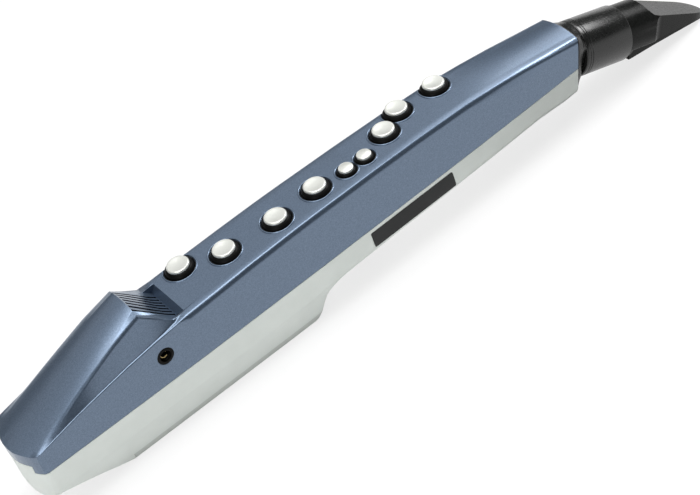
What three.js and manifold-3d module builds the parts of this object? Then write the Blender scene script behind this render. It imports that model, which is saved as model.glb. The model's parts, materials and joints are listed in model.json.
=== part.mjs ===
// Digital wind controller: a straight electronic wind instrument with finger keys, a speaker hood
// at its foot, a battery belly below the foot and a saxophone mouthpiece on a round barrel.
// Millimetres. In the body frame x runs from the foot to the mouthpiece, y across, z up out of the
// level key face. The whole body is then turned so that it lies as it does on a table, flat on the
// belly with the reed's tip just clear, and the origin is under the middle of its box.
import * as THREE from 'three';
import Module from 'manifold-3d';
import { mergeVertices } from 'three/addons/utils/BufferGeometryUtils.js';

const wasm = await Module();
wasm.setup();

// Clearances
const seat = 0.3;
const overrun = 20;
const weld = 0.0001;
const slopeSpan = 1;

// Housing, outer form. Its length is worked out below from the hood, the keys and the neck run
const neckRun = 71;
const wall = 2;
const footHalfWidth = 19.4;
const neckHalfWidth = 14.6;
const footLean = 1.5;
const neckLean = 5;
const topDrop = 18.7;
const creaseDrop = 11.7;
const neckCrown = 2;
const sideDepth = 44.2;
const footPartingDepth = 23.3;
const middlePartingDepth = 30.8;
const neckPartingDepth = 35.9;
const creaseFillet = 2.4;
const neckFillet = 7.5;
const edgeFillet = 1;
const bottomFillet = 1.6;
const bottomChamfer = 2.2;
const noseRound = 7.9;
const noseFootRound = 6.3;
const noseOverhang = 0.8;
const noseCorner = 1.6;
const footTabHalfWidth = 14;
const footTabRise = 4.6;

// Speaker hood
const ridgeX = 81.6;
const hoodHeight = 14.3;
const hoodFootDepth = 10.9;
const hoodFootHalfWidth = 16.9;
const hoodHalfWidth = 13.4;
const hoodFootCrown = 2.2;
const hoodCrown = 3.2;
const hoodFillet = 1.4;
const ledgeFoot = 0.6;
const ledgeHood = 1.3;
const ledgeFillet = 0.9;
const ledgeSlope = 0.22;
const grilleRun = 13.9;
const pocketHalfWidth = 13.5;
const pocketDepth = 3.9;
const pocketRun = 3;
const slotCount = 7;
const slotPitch = 2.9;
const slotWidth = 1.35;
const slotDepth = 3.4;
const slotOverlap = 1.2;

// Battery belly
const bellyNose = 24.5;
const bellyMargin = 1.8;
const bellyDepth = 58.2;
const bellyInset = 5.6;
const coverFlange = 4.9;
const coverInset = 0.35;
const coverNotch = 4;

// Neck and mouthpiece, measured along the neck axis
const neckReach = 22.6;
const neckDepth = 42.1;
const neckTilt = 20.1;
const bodyEnd = -24.3;
const collarLength = 7.2;
const collarLip = 0.9;
const plugLength = 5;
const barrelRadius = 15.5;
const barrelEnd = 15.3;
const barrelChamfer = 1;
const tenonRadius = 8.9;
const tenonLength = 15.5;
const airBore = 3;
const shankRadius = 14.6;
const shankLength = 15;
const socketRadius = 9.6;
const beakStepDepth = 5.6;
const beakStepRun = 5.3;
const beakLength = 65.7;
const beakHalfWidth = 11.7;
const tipHalfWidth = 9.3;
const tipArc = 15;
const tipDrop = 5;
const tableDepth = 5.6;
const tipTableDepth = 4.9;
const windwayHalfWidth = 6.2;
const windwayHeight = 8.2;
const reedHeelDepth = 12.6;
const reedHeelHalfWidth = 10.6;
const reedTipDepth = 5.6;
const reedTipHalfWidth = 7.4;
const reedRound = 16.4;
const reedSetback = 2.4;
const reedGap = 0.3;
const sealWidth = 1.3;
const sealInset = 0.85;

// Finger keys: a silver cap on a tapered black base that moves in a round well of the front cover
const bigWell = 8.4;
const bigCap = 5.95;
const bigCapHeight = 3.3;
const smallWell = 5.75;
const smallCap = 3.9;
const smallCapHeight = 2.6;
const rimBevel = 0.4;
const wellGap = 0.65;
const edgeWall = 1.1;
const capThickness = 1;
const capSeat = 0.2;
const capEdge = 0.8;
const dishDepth = 0.5;
const baseDepth = 0.6;
const stemRadius = 2.2;
const washerRadius = 3.4;
const washerThickness = 0.8;
const keyTravel = 1.5;
const frameThickness = 1.6;
const frameHalfWidth = 12.4;
const boardThickness = 1.6;
const boardDepth = 12;
const boardDrop = 6.5;
const boardHalfWidth = 12;
const boardMargin = 3;
const padThickness = 0.8;
const switchHeight = 3;
const switchSize = 6;

// Places of the keys: shares of the key field's length from the first key, and of the half width
const keyMargin = 14.3;
const keyFieldLength = 162.3;
const keyPlaceShares = {
  finger_key_1: [0, 0.622, 'big'],
  finger_key_2: [0.1288, 0.028, 'big'],
  finger_key_3: [0.3099, -0.197, 'big'],
  finger_key_4: [0.4677, -0.124, 'big'],
  side_key_1: [0.578, -0.27, 'small'],
  side_key_2: [0.6506, -0.255, 'small'],
  finger_key_5: [0.7591, 0.123, 'big'],
  finger_key_6: [0.849, 0.6125, 'big'],
  finger_key_7: [1, 0.626, 'big'],
};

// Phones jack on the left wall and USB port on the right wall
const jackX = 82.9;
const jackDepth = 11.4;
const jackRim = 4.7;
const jackThroat = 3.5;
const jackSink = 1.2;
const jackBore = 1.9;
const jackLength = 12;
const usbX = 84;
const usbWidth = 8;
const usbHeight = 3;
const usbLength = 6;
const usbMargin = 1.4;

// The jack's body and the USB port stand on one small board
const jackBody = 1.4 * jackThroat;
const jackBoardZ = -jackDepth - jackBody - seat;
const usbDepth = -jackBoardZ - seat - usbHeight / 2;

// Back of the slim part
const octaveShare = 0.809;
const octavePitch = 15;
const octaveLength = 11;
const octaveHalfWidth = 7;
const octaveHeight = 1.8;
const octaveFlange = 1;
const restRadius = 5.5;
const restHeight = 1.2;
const hookShare = 0.5256;
const hookMargin = 9.3;
const hookHalfWidth = 5.4;
const hookHeight = 11.8;
const hookReach = 12;
const hookThickness = 2.2;
const buttonMargin = 15;
const buttonPitch = 8.5;
const buttonRadius = 2.6;
const buttonHeight = 0.8;
const buttonFlange = 0.8;
const buttonTravel = 0.8;
const lensRadius = 1.2;
const ringShare = 0.6488;
const ringOuter = 6;
const ringInner = 3.6;
const ringThickness = 2.4;
const ringBase = 1.6;

// Inside
const cellRadius = 7.25;
const cellLength = 50.5;
const cellNib = 1;
const cellNibRadius = 2.7;
const cellGap = 1.6;
const cellSpread = 0.6;
const cellRise = 3.8;
const ribThickness = 1.4;
const trayWall = 1.4;
const traySide = 0.5;
const springLength = 2.2;
const contactThickness = 0.5;
const speakerRadius = 11.5;
const speakerDepth = 5;
const speakerSet = 8;
const magnetRadius = 7;
const magnetDepth = 4;
const baffleThickness = 1.6;
const mainRise = 9.5;
const mainHalfWidth = 11.5;
const sensorSize = 8;
const tubeRadius = 2.2;
const screwHeadRadius = 2.8;
const screwHead = 1.4;

// Curves as shares: place along the body or the piece, then the share of the named size
const topFallShares = [[0.396, 0], [0.47, 0.022], [0.55, 0.077], [0.686, 0.21], [0.797, 0.376],
  [0.886, 0.57], [0.957, 0.8], [1.016, 1]];
const creaseFallShares = [[-0.023, 1.2], [0.027, 0.93], [0.076, 0.65], [0.122, 0.436], [0.163, 0.274],
  [0.204, 0.145], [0.268, 0.034], [0.314, 0]];
const hoodRiseShares = [[-0.1, -0.23], [0.098, 0], [0.281, 0.223], [0.441, 0.422], [0.588, 0.598],
  [0.735, 0.766], [0.9, 0.9375], [1, 1]];
const sideEdgeShares = [[-0.02, 0.84], [0.026, 0.846], [0.086, 0.867], [0.134, 0.882], [0.257, 0.924],
  [0.346, 0.96], [0.446, 0.994], [0.551, 0.98], [0.67, 0.998], [0.806, 1.016], [0.9, 1.026],
  [0.966, 1.075]];
const partingShares = [[0.023, 0], [0.289, 0.56], [0.551, 1]];
const bellyRearShares = [[-0.2, 0], [0.06, 0.04], [0.21, 0.18], [0.35, 0.31], [0.61, 0.57],
  [0.745, 0.72], [0.87, 0.89], [1, 1]];
const bellyNoseShares = [[0, 1], [0.1, 0.96], [0.204, 0.8], [0.286, 0.55], [0.408, 0.27],
  [0.633, 0.07], [1, 0]];
const noseTopShares = [[0, 0], [0.22, 0.03], [0.4, 0.15], [0.55, 0.3], [0.68, 0.46], [0.81, 0.64], [1, 1]];
const noseFootShares = [[0, 0], [0.31, 0.05], [0.45, 0.14], [0.62, 0.29], [0.775, 0.49], [0.905, 0.75],
  [1, 1]];
const noseArcShare = 0.94;
const flareCurveShare = 1.15;
const reedBarkShare = 0.3;
const reedBarkFallShare = 0.35;
const crownStartShare = 0.8;
const flatHoodShare = 0.75;

// Places along the body, worked out from the hood's end, the key field and the cells
const slopeEndX = ridgeX + grilleRun;
const valleyX = slopeEndX + pocketDepth;
const rimX = valleyX + pocketRun;
const firstKeyX = rimX + keyMargin;
const lastKeyX = firstKeyX + keyFieldLength;
const bodyLength = lastKeyX + neckRun;
const neckX = bodyLength + neckReach;
const boardStartX = firstKeyX - bigWell - boardMargin;
const boardEndX = lastKeyX + bigWell + boardMargin;
const hookX = firstKeyX + hookShare * keyFieldLength;
const ringX = firstKeyX + ringShare * keyFieldLength;
const octaveX = firstKeyX + octaveShare * keyFieldLength;
const buttonX = octaveX + 2 * octavePitch + buttonMargin;
const mainStartX = hookX - 2 * seat;
const mainEndX = buttonX + 3 * buttonPitch + 2 * buttonRadius;
const bellyEndX = hookX - hookReach / 2 - hookThickness - hookMargin - bellyNose;
const cellRun = 2 * cellLength + cellGap;
const bellyX = bellyEndX - bellyMargin - 3 * trayWall - 2 * springLength - cellRun;

// Colours and finishes
const finish = (colour, roughness, metalness) => (
  new THREE.MeshStandardMaterial({ color: colour, roughness, metalness }));
const blueMetallic = finish(0x697a94, 0.38, 0.5);
const lightGrey = finish(0xcdd4cf, 0.5, 0);
const coverGrey = finish(0xb4b9b0, 0.55, 0);
const satinSilver = finish(0xd8dad6, 0.3, 0.8);
const blackPlastic = finish(0x161817, 0.35, 0);
const blackRubber = finish(0x101010, 0.8, 0);
const boardGreen = finish(0x1d5a38, 0.5, 0);
const steel = finish(0xb9bcc0, 0.3, 1);
const brass = finish(0xb59a55, 0.35, 1);
const cellBlue = finish(0x2c4a86, 0.4, 0.2);
const paperBlack = finish(0x2a2a2c, 0.9, 0);
const clearLens = finish(0xbfd8c8, 0.15, 0);

// Geometry helpers
const radians = (degrees) => THREE.MathUtils.degToRad(degrees);
const lerp = (a, b, share) => a + (b - a) * share;
const clampShare = (share) => Math.min(1, Math.max(0, share));

function toSolid(geometry) {
  const bare = geometry.clone();
  bare.deleteAttribute('normal');
  bare.deleteAttribute('uv');
  const merged = mergeVertices(bare.index ? bare.toNonIndexed() : bare, weld);
  return new wasm.Manifold(new wasm.Mesh({
    numProp: 3,
    vertProperties: new Float32Array(merged.attributes.position.array),
    triVerts: new Uint32Array(merged.index.array),
  }));
}

function toGeometry(solid) {
  const result = solid.getMesh();
  const count = result.vertProperties.length / result.numProp;
  const positions = new Float32Array(count * 3);
  for (let i = 0; i < count; i += 1) {
    positions.set(result.vertProperties.subarray(i * result.numProp, i * result.numProp + 3), i * 3);
  }
  const geometry = new THREE.BufferGeometry();
  geometry.setAttribute('position', new THREE.BufferAttribute(positions, 3));
  geometry.setIndex(new THREE.BufferAttribute(new Uint32Array(result.triVerts), 1));
  geometry.computeVertexNormals();
  return geometry;
}

const join = (solids) => solids.reduce((whole, next) => whole.add(next));

function named(name, solid, material) {
  const mesh = new THREE.Mesh(solid.isBufferGeometry ? solid : toGeometry(solid), material);
  mesh.name = name;
  return mesh;
}

function box(lengthX, widthY, heightZ, x, y, z) {
  return new THREE.BoxGeometry(lengthX, widthY, heightZ).translate(x, y, z);
}

// A disc or pin whose axis is the z axis, from z to z + height
function post(radius, height, x, y, z, sides = 16) {
  return new THREE.CylinderGeometry(radius, radius, height, sides)
    .rotateX(Math.PI / 2).translate(x, y, z + height / 2);
}

// A pin whose axis is the x axis, from x to x + length
function rod(radius, length, x, y, z, sides = 16) {
  return new THREE.CylinderGeometry(radius, radius, length, sides)
    .rotateZ(Math.PI / 2).translate(x + length / 2, y, z);
}

// A turned piece about the z axis: the profile runs from the axis at the bottom to the axis on top
function turned(profile, sides = 16) {
  return new THREE.LatheGeometry(profile.map(([r, z]) => new THREE.Vector2(r, z)), sides)
    .rotateX(Math.PI / 2);
}

// A side profile in x and z, drawn out across y
function crossPlate(points, halfWidth) {
  const shape = new THREE.Shape(points.map(([x, z]) => new THREE.Vector2(x, z)));
  return new THREE.ExtrudeGeometry(shape, { depth: halfWidth * 2, bevelEnabled: false })
    .rotateX(Math.PI / 2).translate(0, halfWidth, 0);
}

// A plan outline in x and y, drawn up from z to z + height
function planPlate(shape, height, z, curveSegments = 8) {
  return new THREE.ExtrudeGeometry(shape, { depth: height, bevelEnabled: false, curveSegments })
    .translate(0, 0, z);
}

// A closed skin through rings of points, each with as many points, with flat ends
function loft(rings) {
  const count = rings[0].length;
  const positions = rings.flat().flatMap((p) => [p.x, p.y, p.z]);
  const index = [];
  for (let k = 0; k + 1 < rings.length; k += 1) {
    for (let i = 0; i < count; i += 1) {
      const a = k * count + i;
      const b = k * count + ((i + 1) % count);
      index.push(a, b, a + count, b, b + count, a + count);
    }
  }
  const flat = (ring) => ring.map((p) => new THREE.Vector2(p.y, p.z));
  const last = (rings.length - 1) * count;
  for (const [i, j, k] of THREE.ShapeUtils.triangulateShape(flat(rings[0]), [])) index.push(i, k, j);
  for (const [i, j, k] of THREE.ShapeUtils.triangulateShape(flat(rings[rings.length - 1]), [])) {
    index.push(last + i, last + j, last + k);
  }
  const geometry = new THREE.BufferGeometry();
  geometry.setAttribute('position', new THREE.Float32BufferAttribute(positions, 3));
  geometry.setIndex(index);
  return geometry;
}

// A smooth curve without overshoot through pairs of place and value
function along(table, place) {
  const last = table.length - 1;
  if (place <= table[0][0]) return table[0][1];
  if (place >= table[last][0]) return table[last][1];
  const step = (i) => (table[i + 1][1] - table[i][1]) / (table[i + 1][0] - table[i][0]);
  const slope = (i) => {
    if (i === 0) return step(0);
    if (i === last) return step(last - 1);
    const before = step(i - 1);
    const after = step(i);
    return before * after <= 0 ? 0 : (2 * before * after) / (before + after);
  };
  let k = 0;
  while (place > table[k + 1][0]) k += 1;
  const run = table[k + 1][0] - table[k][0];
  const s = (place - table[k][0]) / run;
  const rise = table[k + 1][1] - table[k][1];
  const a = slope(k) * run - rise;
  const b = rise - slope(k + 1) * run;
  return table[k][1] + rise * s + s * (1 - s) * (a * (1 - s) + b * s);
}

// Lie of the part: the belly's floor is flat on the table and the reed's tip is just clear of it
const neckFrame = new THREE.Matrix4().makeRotationY(radians(neckTilt))
  .setPosition(neckX, 0, -neckDepth);
const neckInverse = neckFrame.clone().invert();
const tipEnd = barrelEnd + beakLength;
const reedTip = new THREE.Vector3(tipEnd, 0, -reedTipDepth).applyMatrix4(neckFrame);
const restTilt = Math.atan2(-bellyDepth - reedTip.z + seat, reedTip.x - bellyX);

// The housing's lines along x
const topZ = (x) => -topDrop * along(topFallShares, x / bodyLength);
const crownAt = (x) => neckCrown * clampShare((x / bodyLength - crownStartShare) / (1 - crownStartShare));
const topHalf = (x) => lerp(footHalfWidth, neckHalfWidth, Math.max(0, x / bodyLength) ** 1.1);
const leanAt = (x) => radians(lerp(footLean, neckLean, clampShare(x / bodyLength)));
const creaseZ = (x) => topZ(x) - crownAt(x) - creaseDrop * along(creaseFallShares, x / bodyLength);
const edgeZ = (x) => -sideDepth * along(sideEdgeShares, x / bodyLength);
const edgeHalf = (x) => topHalf(x) + (creaseZ(x) - edgeZ(x)) * Math.tan(leanAt(x));
const slimBottomZ = (x) => edgeZ(x) - bottomChamfer;
const bellyZ = (x) => -bellyDepth - (x - bellyX) * Math.tan(restTilt);
const filletAt = (x) => lerp(creaseFillet, neckFillet, clampShare((x / bodyLength - crownStartShare)
  / (1 - crownStartShare)));

// Where the key face begins beyond the hood: 0 up to the end of the grille's slope, 1 from the rim
const keyFaceShare = (x) => clampShare((x - slopeEndX) / (rimX - slopeEndX));

// The walls' rounded top edge, which runs on as a narrow ledge below the hood's sides
function ledgeFrom(x, crease, shoulder) {
  const onHood = lerp(ledgeFoot, ledgeHood, clampShare(x / ridgeX));
  const back = lerp(onHood, (crease.x - shoulder.x) * flatHoodShare, keyFaceShare(x));
  const level = (shoulder.y - crease.y) / (crease.x - shoulder.x);
  const slope = lerp(ledgeSlope, level, clampShare((x - ridgeX) / grilleRun));
  return new THREE.Vector2(crease.x - back, crease.y + back * slope);
}

function bellyShare(x) {
  if (x < bellyX) return along(bellyRearShares, x / bellyX);
  return along(bellyNoseShares, (x - bellyEndX) / bellyNose);
}

function partingZ(x) {
  const share = x / bodyLength;
  const middleShare = partingShares[partingShares.length - 1][0];
  if (share <= middleShare) {
    return -lerp(footPartingDepth, middlePartingDepth, along(partingShares, share));
  }
  return -lerp(middlePartingDepth, neckPartingDepth, (share - middleShare) / (1 - middleShare));
}

// Height of the hood's edge and crown, level with the key face beyond the grille
function hoodAt(x) {
  if (x <= ridgeX) {
    const share = clampShare(x / ridgeX);
    return {
      half: lerp(hoodFootHalfWidth, hoodHalfWidth, share),
      z: -hoodFootDepth + (hoodHeight + hoodFootDepth) * along(hoodRiseShares, x / ridgeX),
      crown: lerp(hoodFootCrown, hoodCrown, share),
    };
  }
  const level = topZ(x) - crownAt(x) * flatHoodShare ** 2;
  const half = flatHoodShare * topHalf(x);
  if (x >= slopeEndX) return { half, z: level, crown: topZ(x) - level };
  const share = (x - ridgeX) / grilleRun;
  return {
    half: lerp(hoodHalfWidth, half, share),
    z: lerp(hoodHeight, level, share),
    crown: hoodCrown * (1 - share),
  };
}

// Points of a softened corner, set back along both of its sides
function corner(before, at, after, size, steps) {
  const inward = before.clone().sub(at);
  const outward = after.clone().sub(at);
  const back = (side) => at.clone().addScaledVector(side.clone().normalize(),
    Math.min(size, side.length() * 0.45));
  const bend = new THREE.QuadraticBezierCurve(back(inward), at, back(outward));
  return bend.getPoints(steps);
}

// The housing's section at x, every side moved in by inset
function section(x, inset, fine) {
  const hood = hoodAt(x);
  const share = bellyShare(x);
  const bottomZ = lerp(slimBottomZ(x), bellyZ(x), share) + inset;
  const bottomHalf = edgeHalf(x) - lerp(bottomChamfer, bellyInset, share) - inset;
  const bottom = new THREE.Vector2(0, bottomZ);
  const foot = new THREE.Vector2(bottomHalf, bottomZ);
  const edge = new THREE.Vector2(edgeHalf(x) - inset, edgeZ(x));
  const crease = new THREE.Vector2(topHalf(x) - inset, creaseZ(x) - inset);
  const shoulder = new THREE.Vector2(hood.half - inset, hood.z - inset);
  const ledge = ledgeFrom(x, crease, shoulder);
  const wallFillet = lerp(ledgeFillet, filletAt(x), keyFaceShare(x));
  const top = new THREE.Vector2(0, hood.z + hood.crown - inset);
  const shrink = (size) => Math.max(size - inset, size / 4);
  const crownSteps = fine ? 3 : 2;
  const crownPoints = [];
  for (let i = 1; i < crownSteps; i += 1) {
    const y = shoulder.x * (1 - i / crownSteps);
    crownPoints.push(new THREE.Vector2(y, top.y - (top.y - shoulder.y) * (y / shoulder.x) ** 2));
  }
  const half = [
    ...corner(bottom, foot, edge, shrink(bottomFillet), fine ? 2 : 1),
    ...corner(foot, edge, crease, shrink(edgeFillet), 1),
    ...corner(edge, crease, ledge, shrink(wallFillet), fine ? 3 : 1),
    ledge,
    ...corner(ledge, shoulder, crownPoints[0], shrink(hoodFillet), fine ? 2 : 1),
    ...crownPoints,
  ];
  const right = half.map((p) => new THREE.Vector3(x, p.x, p.y));
  const left = half.map((p) => new THREE.Vector3(x, -p.x, p.y)).reverse();
  return [new THREE.Vector3(x, 0, bottomZ), ...right, new THREE.Vector3(x, 0, top.y), ...left];
}

// Stations closer together where the lines bend
function stations() {
  const places = [-overrun / 2];
  const spread = (from, to, count) => {
    for (let i = 1; i <= count; i += 1) places.push(lerp(from, to, i / count));
  };
  const last = neckX;
  spread(-overrun / 2, bellyX, 6);
  spread(bellyX, ridgeX, 2);
  spread(ridgeX, slopeEndX, 1);
  spread(slopeEndX, rimX, 1);
  spread(rimX, bellyEndX, 3);
  spread(bellyEndX, bellyEndX + bellyNose / 2, 5);
  spread(bellyEndX + bellyNose / 2, bellyEndX + bellyNose, 2);
  spread(bellyEndX + bellyNose, crownStartShare * bodyLength, 3);
  spread(crownStartShare * bodyLength, last, 5);
  return places;
}

const housingStations = stations();
const coarseStations = housingStations.filter((x, i) => i % 2 === 0 || x === ridgeX || x === slopeEndX);
const housingRings = (inset, fine) => (fine ? housingStations : coarseStations)
  .map((x) => section(x, inset, fine));

// One level of the rounded foot in plan: its curve across the middle and a softened corner
function noseRing(height, inset, apex, round, shares) {
  const side = footHalfWidth - Math.tan(radians(footLean)) * height - inset;
  const arcSteps = 6;
  const half = [];
  for (let i = 1; i <= arcSteps; i += 1) {
    const share = noseArcShare * i / arcSteps;
    half.push([side * share, apex + inset + round * along(shares, share)]);
  }
  const cornerX = apex + inset + round + noseCorner;
  half.push([side, cornerX]);
  half.push([side + overrun, cornerX + overrun]);
  half.push([side + overrun, bodyLength + 2 * overrun]);
  const points = [...half.map(([y, x]) => [-y, x]).reverse(), [0, apex + inset], ...half];
  return points.map(([y, x]) => new THREE.Vector3(-height, y, x));
}

// The rounded foot: rounder at the hood than at the bottom, where its middle stands out a little
function noseBlock(inset) {
  return loft([
    noseRing(2 * overrun, inset, 0, noseRound, noseTopShares),
    noseRing(-creaseDrop, inset, 0, noseRound, noseTopShares),
    noseRing(-sideDepth, inset, -noseOverhang, noseFootRound, noseFootShares),
    noseRing(-bellyDepth - overrun, inset, -noseOverhang, noseFootRound, noseFootShares),
  ]).rotateY(Math.PI / 2);
}

function beyondNeckPlane(place) {
  const size = bodyLength;
  return box(size, size, size, place + size / 2, 0, 0).applyMatrix4(neckFrame);
}

function housingSolid(inset, fine) {
  return toSolid(loft(housingRings(inset, fine))).intersect(toSolid(noseBlock(inset)));
}

// Where the housing's skin meets a plane square to the neck axis, in the neck frame
function ringOnNeckPlane(place, inset, fine) {
  const rings = housingRings(inset, fine).map((ring) => ring.map((p) => p.clone().applyMatrix4(neckInverse)));
  return rings[0].map((unused, i) => {
    for (let k = rings.length - 1; k > 0; k -= 1) {
      const a = rings[k - 1][i];
      const b = rings[k][i];
      if (a.x <= place && b.x >= place) return a.clone().lerp(b, (place - a.x) / (b.x - a.x));
    }
    return rings[rings.length - 1][i];
  });
}

const outer = housingSolid(0, true);
const inner = housingSolid(wall, false);
const lining = housingSolid(wall + seat, false);
const shell = outer.subtract(inner).subtract(toSolid(beyondNeckPlane(bodyEnd)));

// The parting surface between the covers, with the rear cover's tab at the foot
function partingBlock(shift, up) {
  const reach = up ? overrun * 3 : -bellyDepth * 2;
  const points = housingStations.map((x) => [x, partingZ(x) + shift]);
  points.push([housingStations[housingStations.length - 1], reach]);
  points.push([housingStations[0], reach]);
  return toSolid(crossPlate(up ? points : points.reverse(), bodyLength));
}

function footTab(margin) {
  const top = partingZ(0) + footTabRise + margin;
  const height = footTabRise + overrun / 4;
  return toSolid(box(overrun + 2 * margin, 2 * (footTabHalfWidth + margin), height,
    0, 0, top - height / 2));
}

const aboveParting = partingBlock(seat / 2, true);
const belowParting = partingBlock(-seat / 2, false);

// Frame of a key: origin on the key face, z square to it
function keyFrame(x, y) {
  const pitch = Math.atan2(topZ(x - slopeSpan) - topZ(x + slopeSpan), 2 * slopeSpan);
  const height = topZ(x) - crownAt(x) * (y / topHalf(x)) ** 2;
  return new THREE.Matrix4().makeRotationY(pitch).setPosition(x, y, height);
}

const keys = Object.entries(keyPlaceShares).map(([name, [place, across, size]]) => {
  const x = firstKeyX + place * keyFieldLength;
  const y = across * topHalf(x);
  return {
    name,
    x,
    y,
    frame: keyFrame(x, y),
    well: size === 'big' ? bigWell : smallWell,
    cap: size === 'big' ? bigCap : smallCap,
    height: size === 'big' ? bigCapHeight : smallCapHeight,
    dished: size === 'big',
  };
});

const boardZ = (x) => -boardDepth - boardDrop * (x - boardStartX) / (boardEndX - boardStartX);
const framePostPlaces = [boardStartX + 2 * stemRadius, bellyEndX - switchSize, boardEndX - 2 * stemRadius];
const framePosts = framePostPlaces.flatMap((x) => (
  [-1, 1].map((side) => [x, side * (boardHalfWidth - stemRadius)])));

// Speaker slots: narrow cutters that follow the grille's slope and run over its ridge
function grilleSlots() {
  const fall = hoodHeight + pocketDepth;
  const run = valleyX - ridgeX;
  const length = Math.hypot(fall, run) + slotOverlap;
  const pitch = Math.atan2(fall, run);
  const short = crossPlate([
    [ridgeX - 2 * slotOverlap, 2 * hoodHeight],
    [ridgeX - 2 * slotOverlap, -2 * pocketDepth],
    [valleyX - seat, -2 * pocketDepth],
    [valleyX - seat, 2 * hoodHeight],
  ], hoodHalfWidth);
  const slots = [];
  for (let i = 0; i < slotCount; i += 1) {
    const y = (i - (slotCount - 1) / 2) * slotPitch;
    slots.push(toSolid(box(length, slotWidth, slotDepth * 3, length / 2 - slotOverlap, y, slotDepth / 2)
      .rotateY(pitch).translate(ridgeX, 0, hoodHeight)));
  }
  return join(slots).intersect(toSolid(short));
}

function pocket() {
  return toSolid(crossPlate([
    [slopeEndX - pocketDepth / 4, pocketDepth / 4],
    [valleyX, -pocketDepth],
    [rimX, 0],
    [rimX, pocketDepth / 4],
  ], pocketHalfWidth));
}

// The pocket's floor and front wall, a folded sheet under the pocket
function pocketPan() {
  const pan = toSolid(crossPlate([
    [slopeEndX - wall, wall],
    [slopeEndX, 0],
    [rimX + wall * 2, 0],
    [rimX + wall * 2, -wall],
    [valleyX + wall, -pocketDepth - wall],
    [valleyX - wall, -pocketDepth - wall],
    [slopeEndX - wall * 2, -wall],
  ], pocketHalfWidth + wall));
  return pan.intersect(housingSolid(wall / 2, false));
}

// Zone of the key face that keeps the wells and key bases inside the side walls
function keyZone(margin) {
  const start = rimX;
  const end = boardEndX + overrun / 2;
  const shape = new THREE.Shape();
  shape.moveTo(start, -topHalf(start) + margin);
  shape.lineTo(end, -topHalf(end) + margin);
  shape.lineTo(end, topHalf(end) - margin);
  shape.lineTo(start, topHalf(start) - margin);
  return toSolid(planPlate(shape, 2 * overrun, -overrun));
}

function frontCover() {
  const wells = keys.map((key) => {
    const depth = wall + frameThickness;
    const cutter = turned([
      [0, -depth], [key.well, -depth], [key.well, -rimBevel], [key.well + 2 * rimBevel, rimBevel],
      [0, rimBevel],
    ], 16);
    return toSolid(cutter.applyMatrix4(key.frame));
  });
  const side = topHalf(jackX) + (creaseZ(jackX) + jackDepth) * Math.tan(leanAt(jackX));
  const jackHole = toSolid(turned([
    [0, -overrun / 2], [jackThroat, -overrun / 2], [jackThroat, -jackSink], [jackRim, 0],
    [jackRim, overrun / 4], [0, overrun / 4],
  ]).rotateX(Math.PI / 2).translate(jackX, -side, -jackDepth));
  const usbHole = toSolid(box(usbWidth + 2 * usbMargin, overrun / 2, usbHeight + 2 * usbMargin,
    usbX, topHalf(usbX), -usbDepth));
  return shell.add(pocketPan()).intersect(aboveParting).subtract(footTab(seat))
    .subtract(pocket()).subtract(grilleSlots()).subtract(join(wells).intersect(keyZone(edgeWall)))
    .subtract(jackHole).subtract(usbHole);
}

// Cells lie two in line and two side by side in the belly, as low as its floor and walls let them
const cellPitchY = cellRadius + cellSpread / 2;
const cellOnFloorZ = -bellyDepth + wall + coverInset + cellRise + cellRadius;
const cellHalf = cellPitchY + cellRadius + seat;
const wallShare = (edgeHalf(bellyX) - wall - cellHalf) / bellyInset;
const cellInWallsZ = lerp(edgeZ(bellyX), -bellyDepth, clampShare(wallShare));
const cellZ = Math.max(cellOnFloorZ, cellInWallsZ);
const cellStart = bellyX + trayWall * 2 + springLength;
const bellyFrame = new THREE.Matrix4()
  .makeTranslation(bellyX, 0, -bellyDepth)
  .multiply(new THREE.Matrix4().makeRotationY(restTilt))
  .multiply(new THREE.Matrix4().makeTranslation(-bellyX, 0, bellyDepth));
const ribShares = [0.15, 0.38, 0.62, 0.85];
const ribPlaces = ribShares.map((share) => lerp(bellyX, bellyEndX, share));

// Battery cover: the belly's floor with its low side flanges and its curved front
function coverBlock(margin) {
  const front = bellyEndX + bellyNose / 2;
  const splitZ = (x) => bellyZ(x) + coverFlange;
  return toSolid(crossPlate([
    [bellyX - margin, splitZ(bellyX) + margin],
    [bellyX - margin, -bellyDepth - overrun],
    [front, -bellyDepth - overrun],
    [front, splitZ(front) + margin],
  ], bodyLength / 2));
}

function batteryCover() {
  const skin = housingSolid(coverInset, true).subtract(housingSolid(wall + coverInset, false))
    .translate(0, 0, -coverInset);
  const notch = toSolid(post(coverNotch, overrun, bellyX, 0, -bellyDepth - overrun / 2, 16));
  const low = -bellyDepth + wall / 2;
  const ribs = ribPlaces.map((x) => toSolid(box(ribThickness, 2 * cellPitchY + cellRadius / 2,
    cellZ - cellRadius - seat - low, x, 0, (cellZ - cellRadius - seat + low) / 2)));
  return join([skin.intersect(coverBlock(0)).subtract(notch), join(ribs).transform(bellyFrame.elements)]);
}

// Back keys and buttons sit in holes of the slim part's floor
const floorZ = (x) => slimBottomZ(x);

function floorFrame(x) {
  const pitch = Math.atan2(floorZ(x - 2 * slopeSpan) - floorZ(x + 2 * slopeSpan), 4 * slopeSpan);
  return new THREE.Matrix4().makeRotationY(pitch).setPosition(x, 0, floorZ(x));
}

function roundedPlan(length, halfWidth, radius) {
  const shape = new THREE.Shape();
  const x = length / 2;
  shape.moveTo(-x + radius, -halfWidth);
  shape.lineTo(x - radius, -halfWidth);
  shape.quadraticCurveTo(x, -halfWidth, x, -halfWidth + radius);
  shape.lineTo(x, halfWidth - radius);
  shape.quadraticCurveTo(x, halfWidth, x - radius, halfWidth);
  shape.lineTo(-x + radius, halfWidth);
  shape.quadraticCurveTo(-x, halfWidth, -x, halfWidth - radius);
  shape.lineTo(-x, -halfWidth + radius);
  shape.quadraticCurveTo(-x, -halfWidth, -x + radius, -halfWidth);
  return shape;
}

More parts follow.
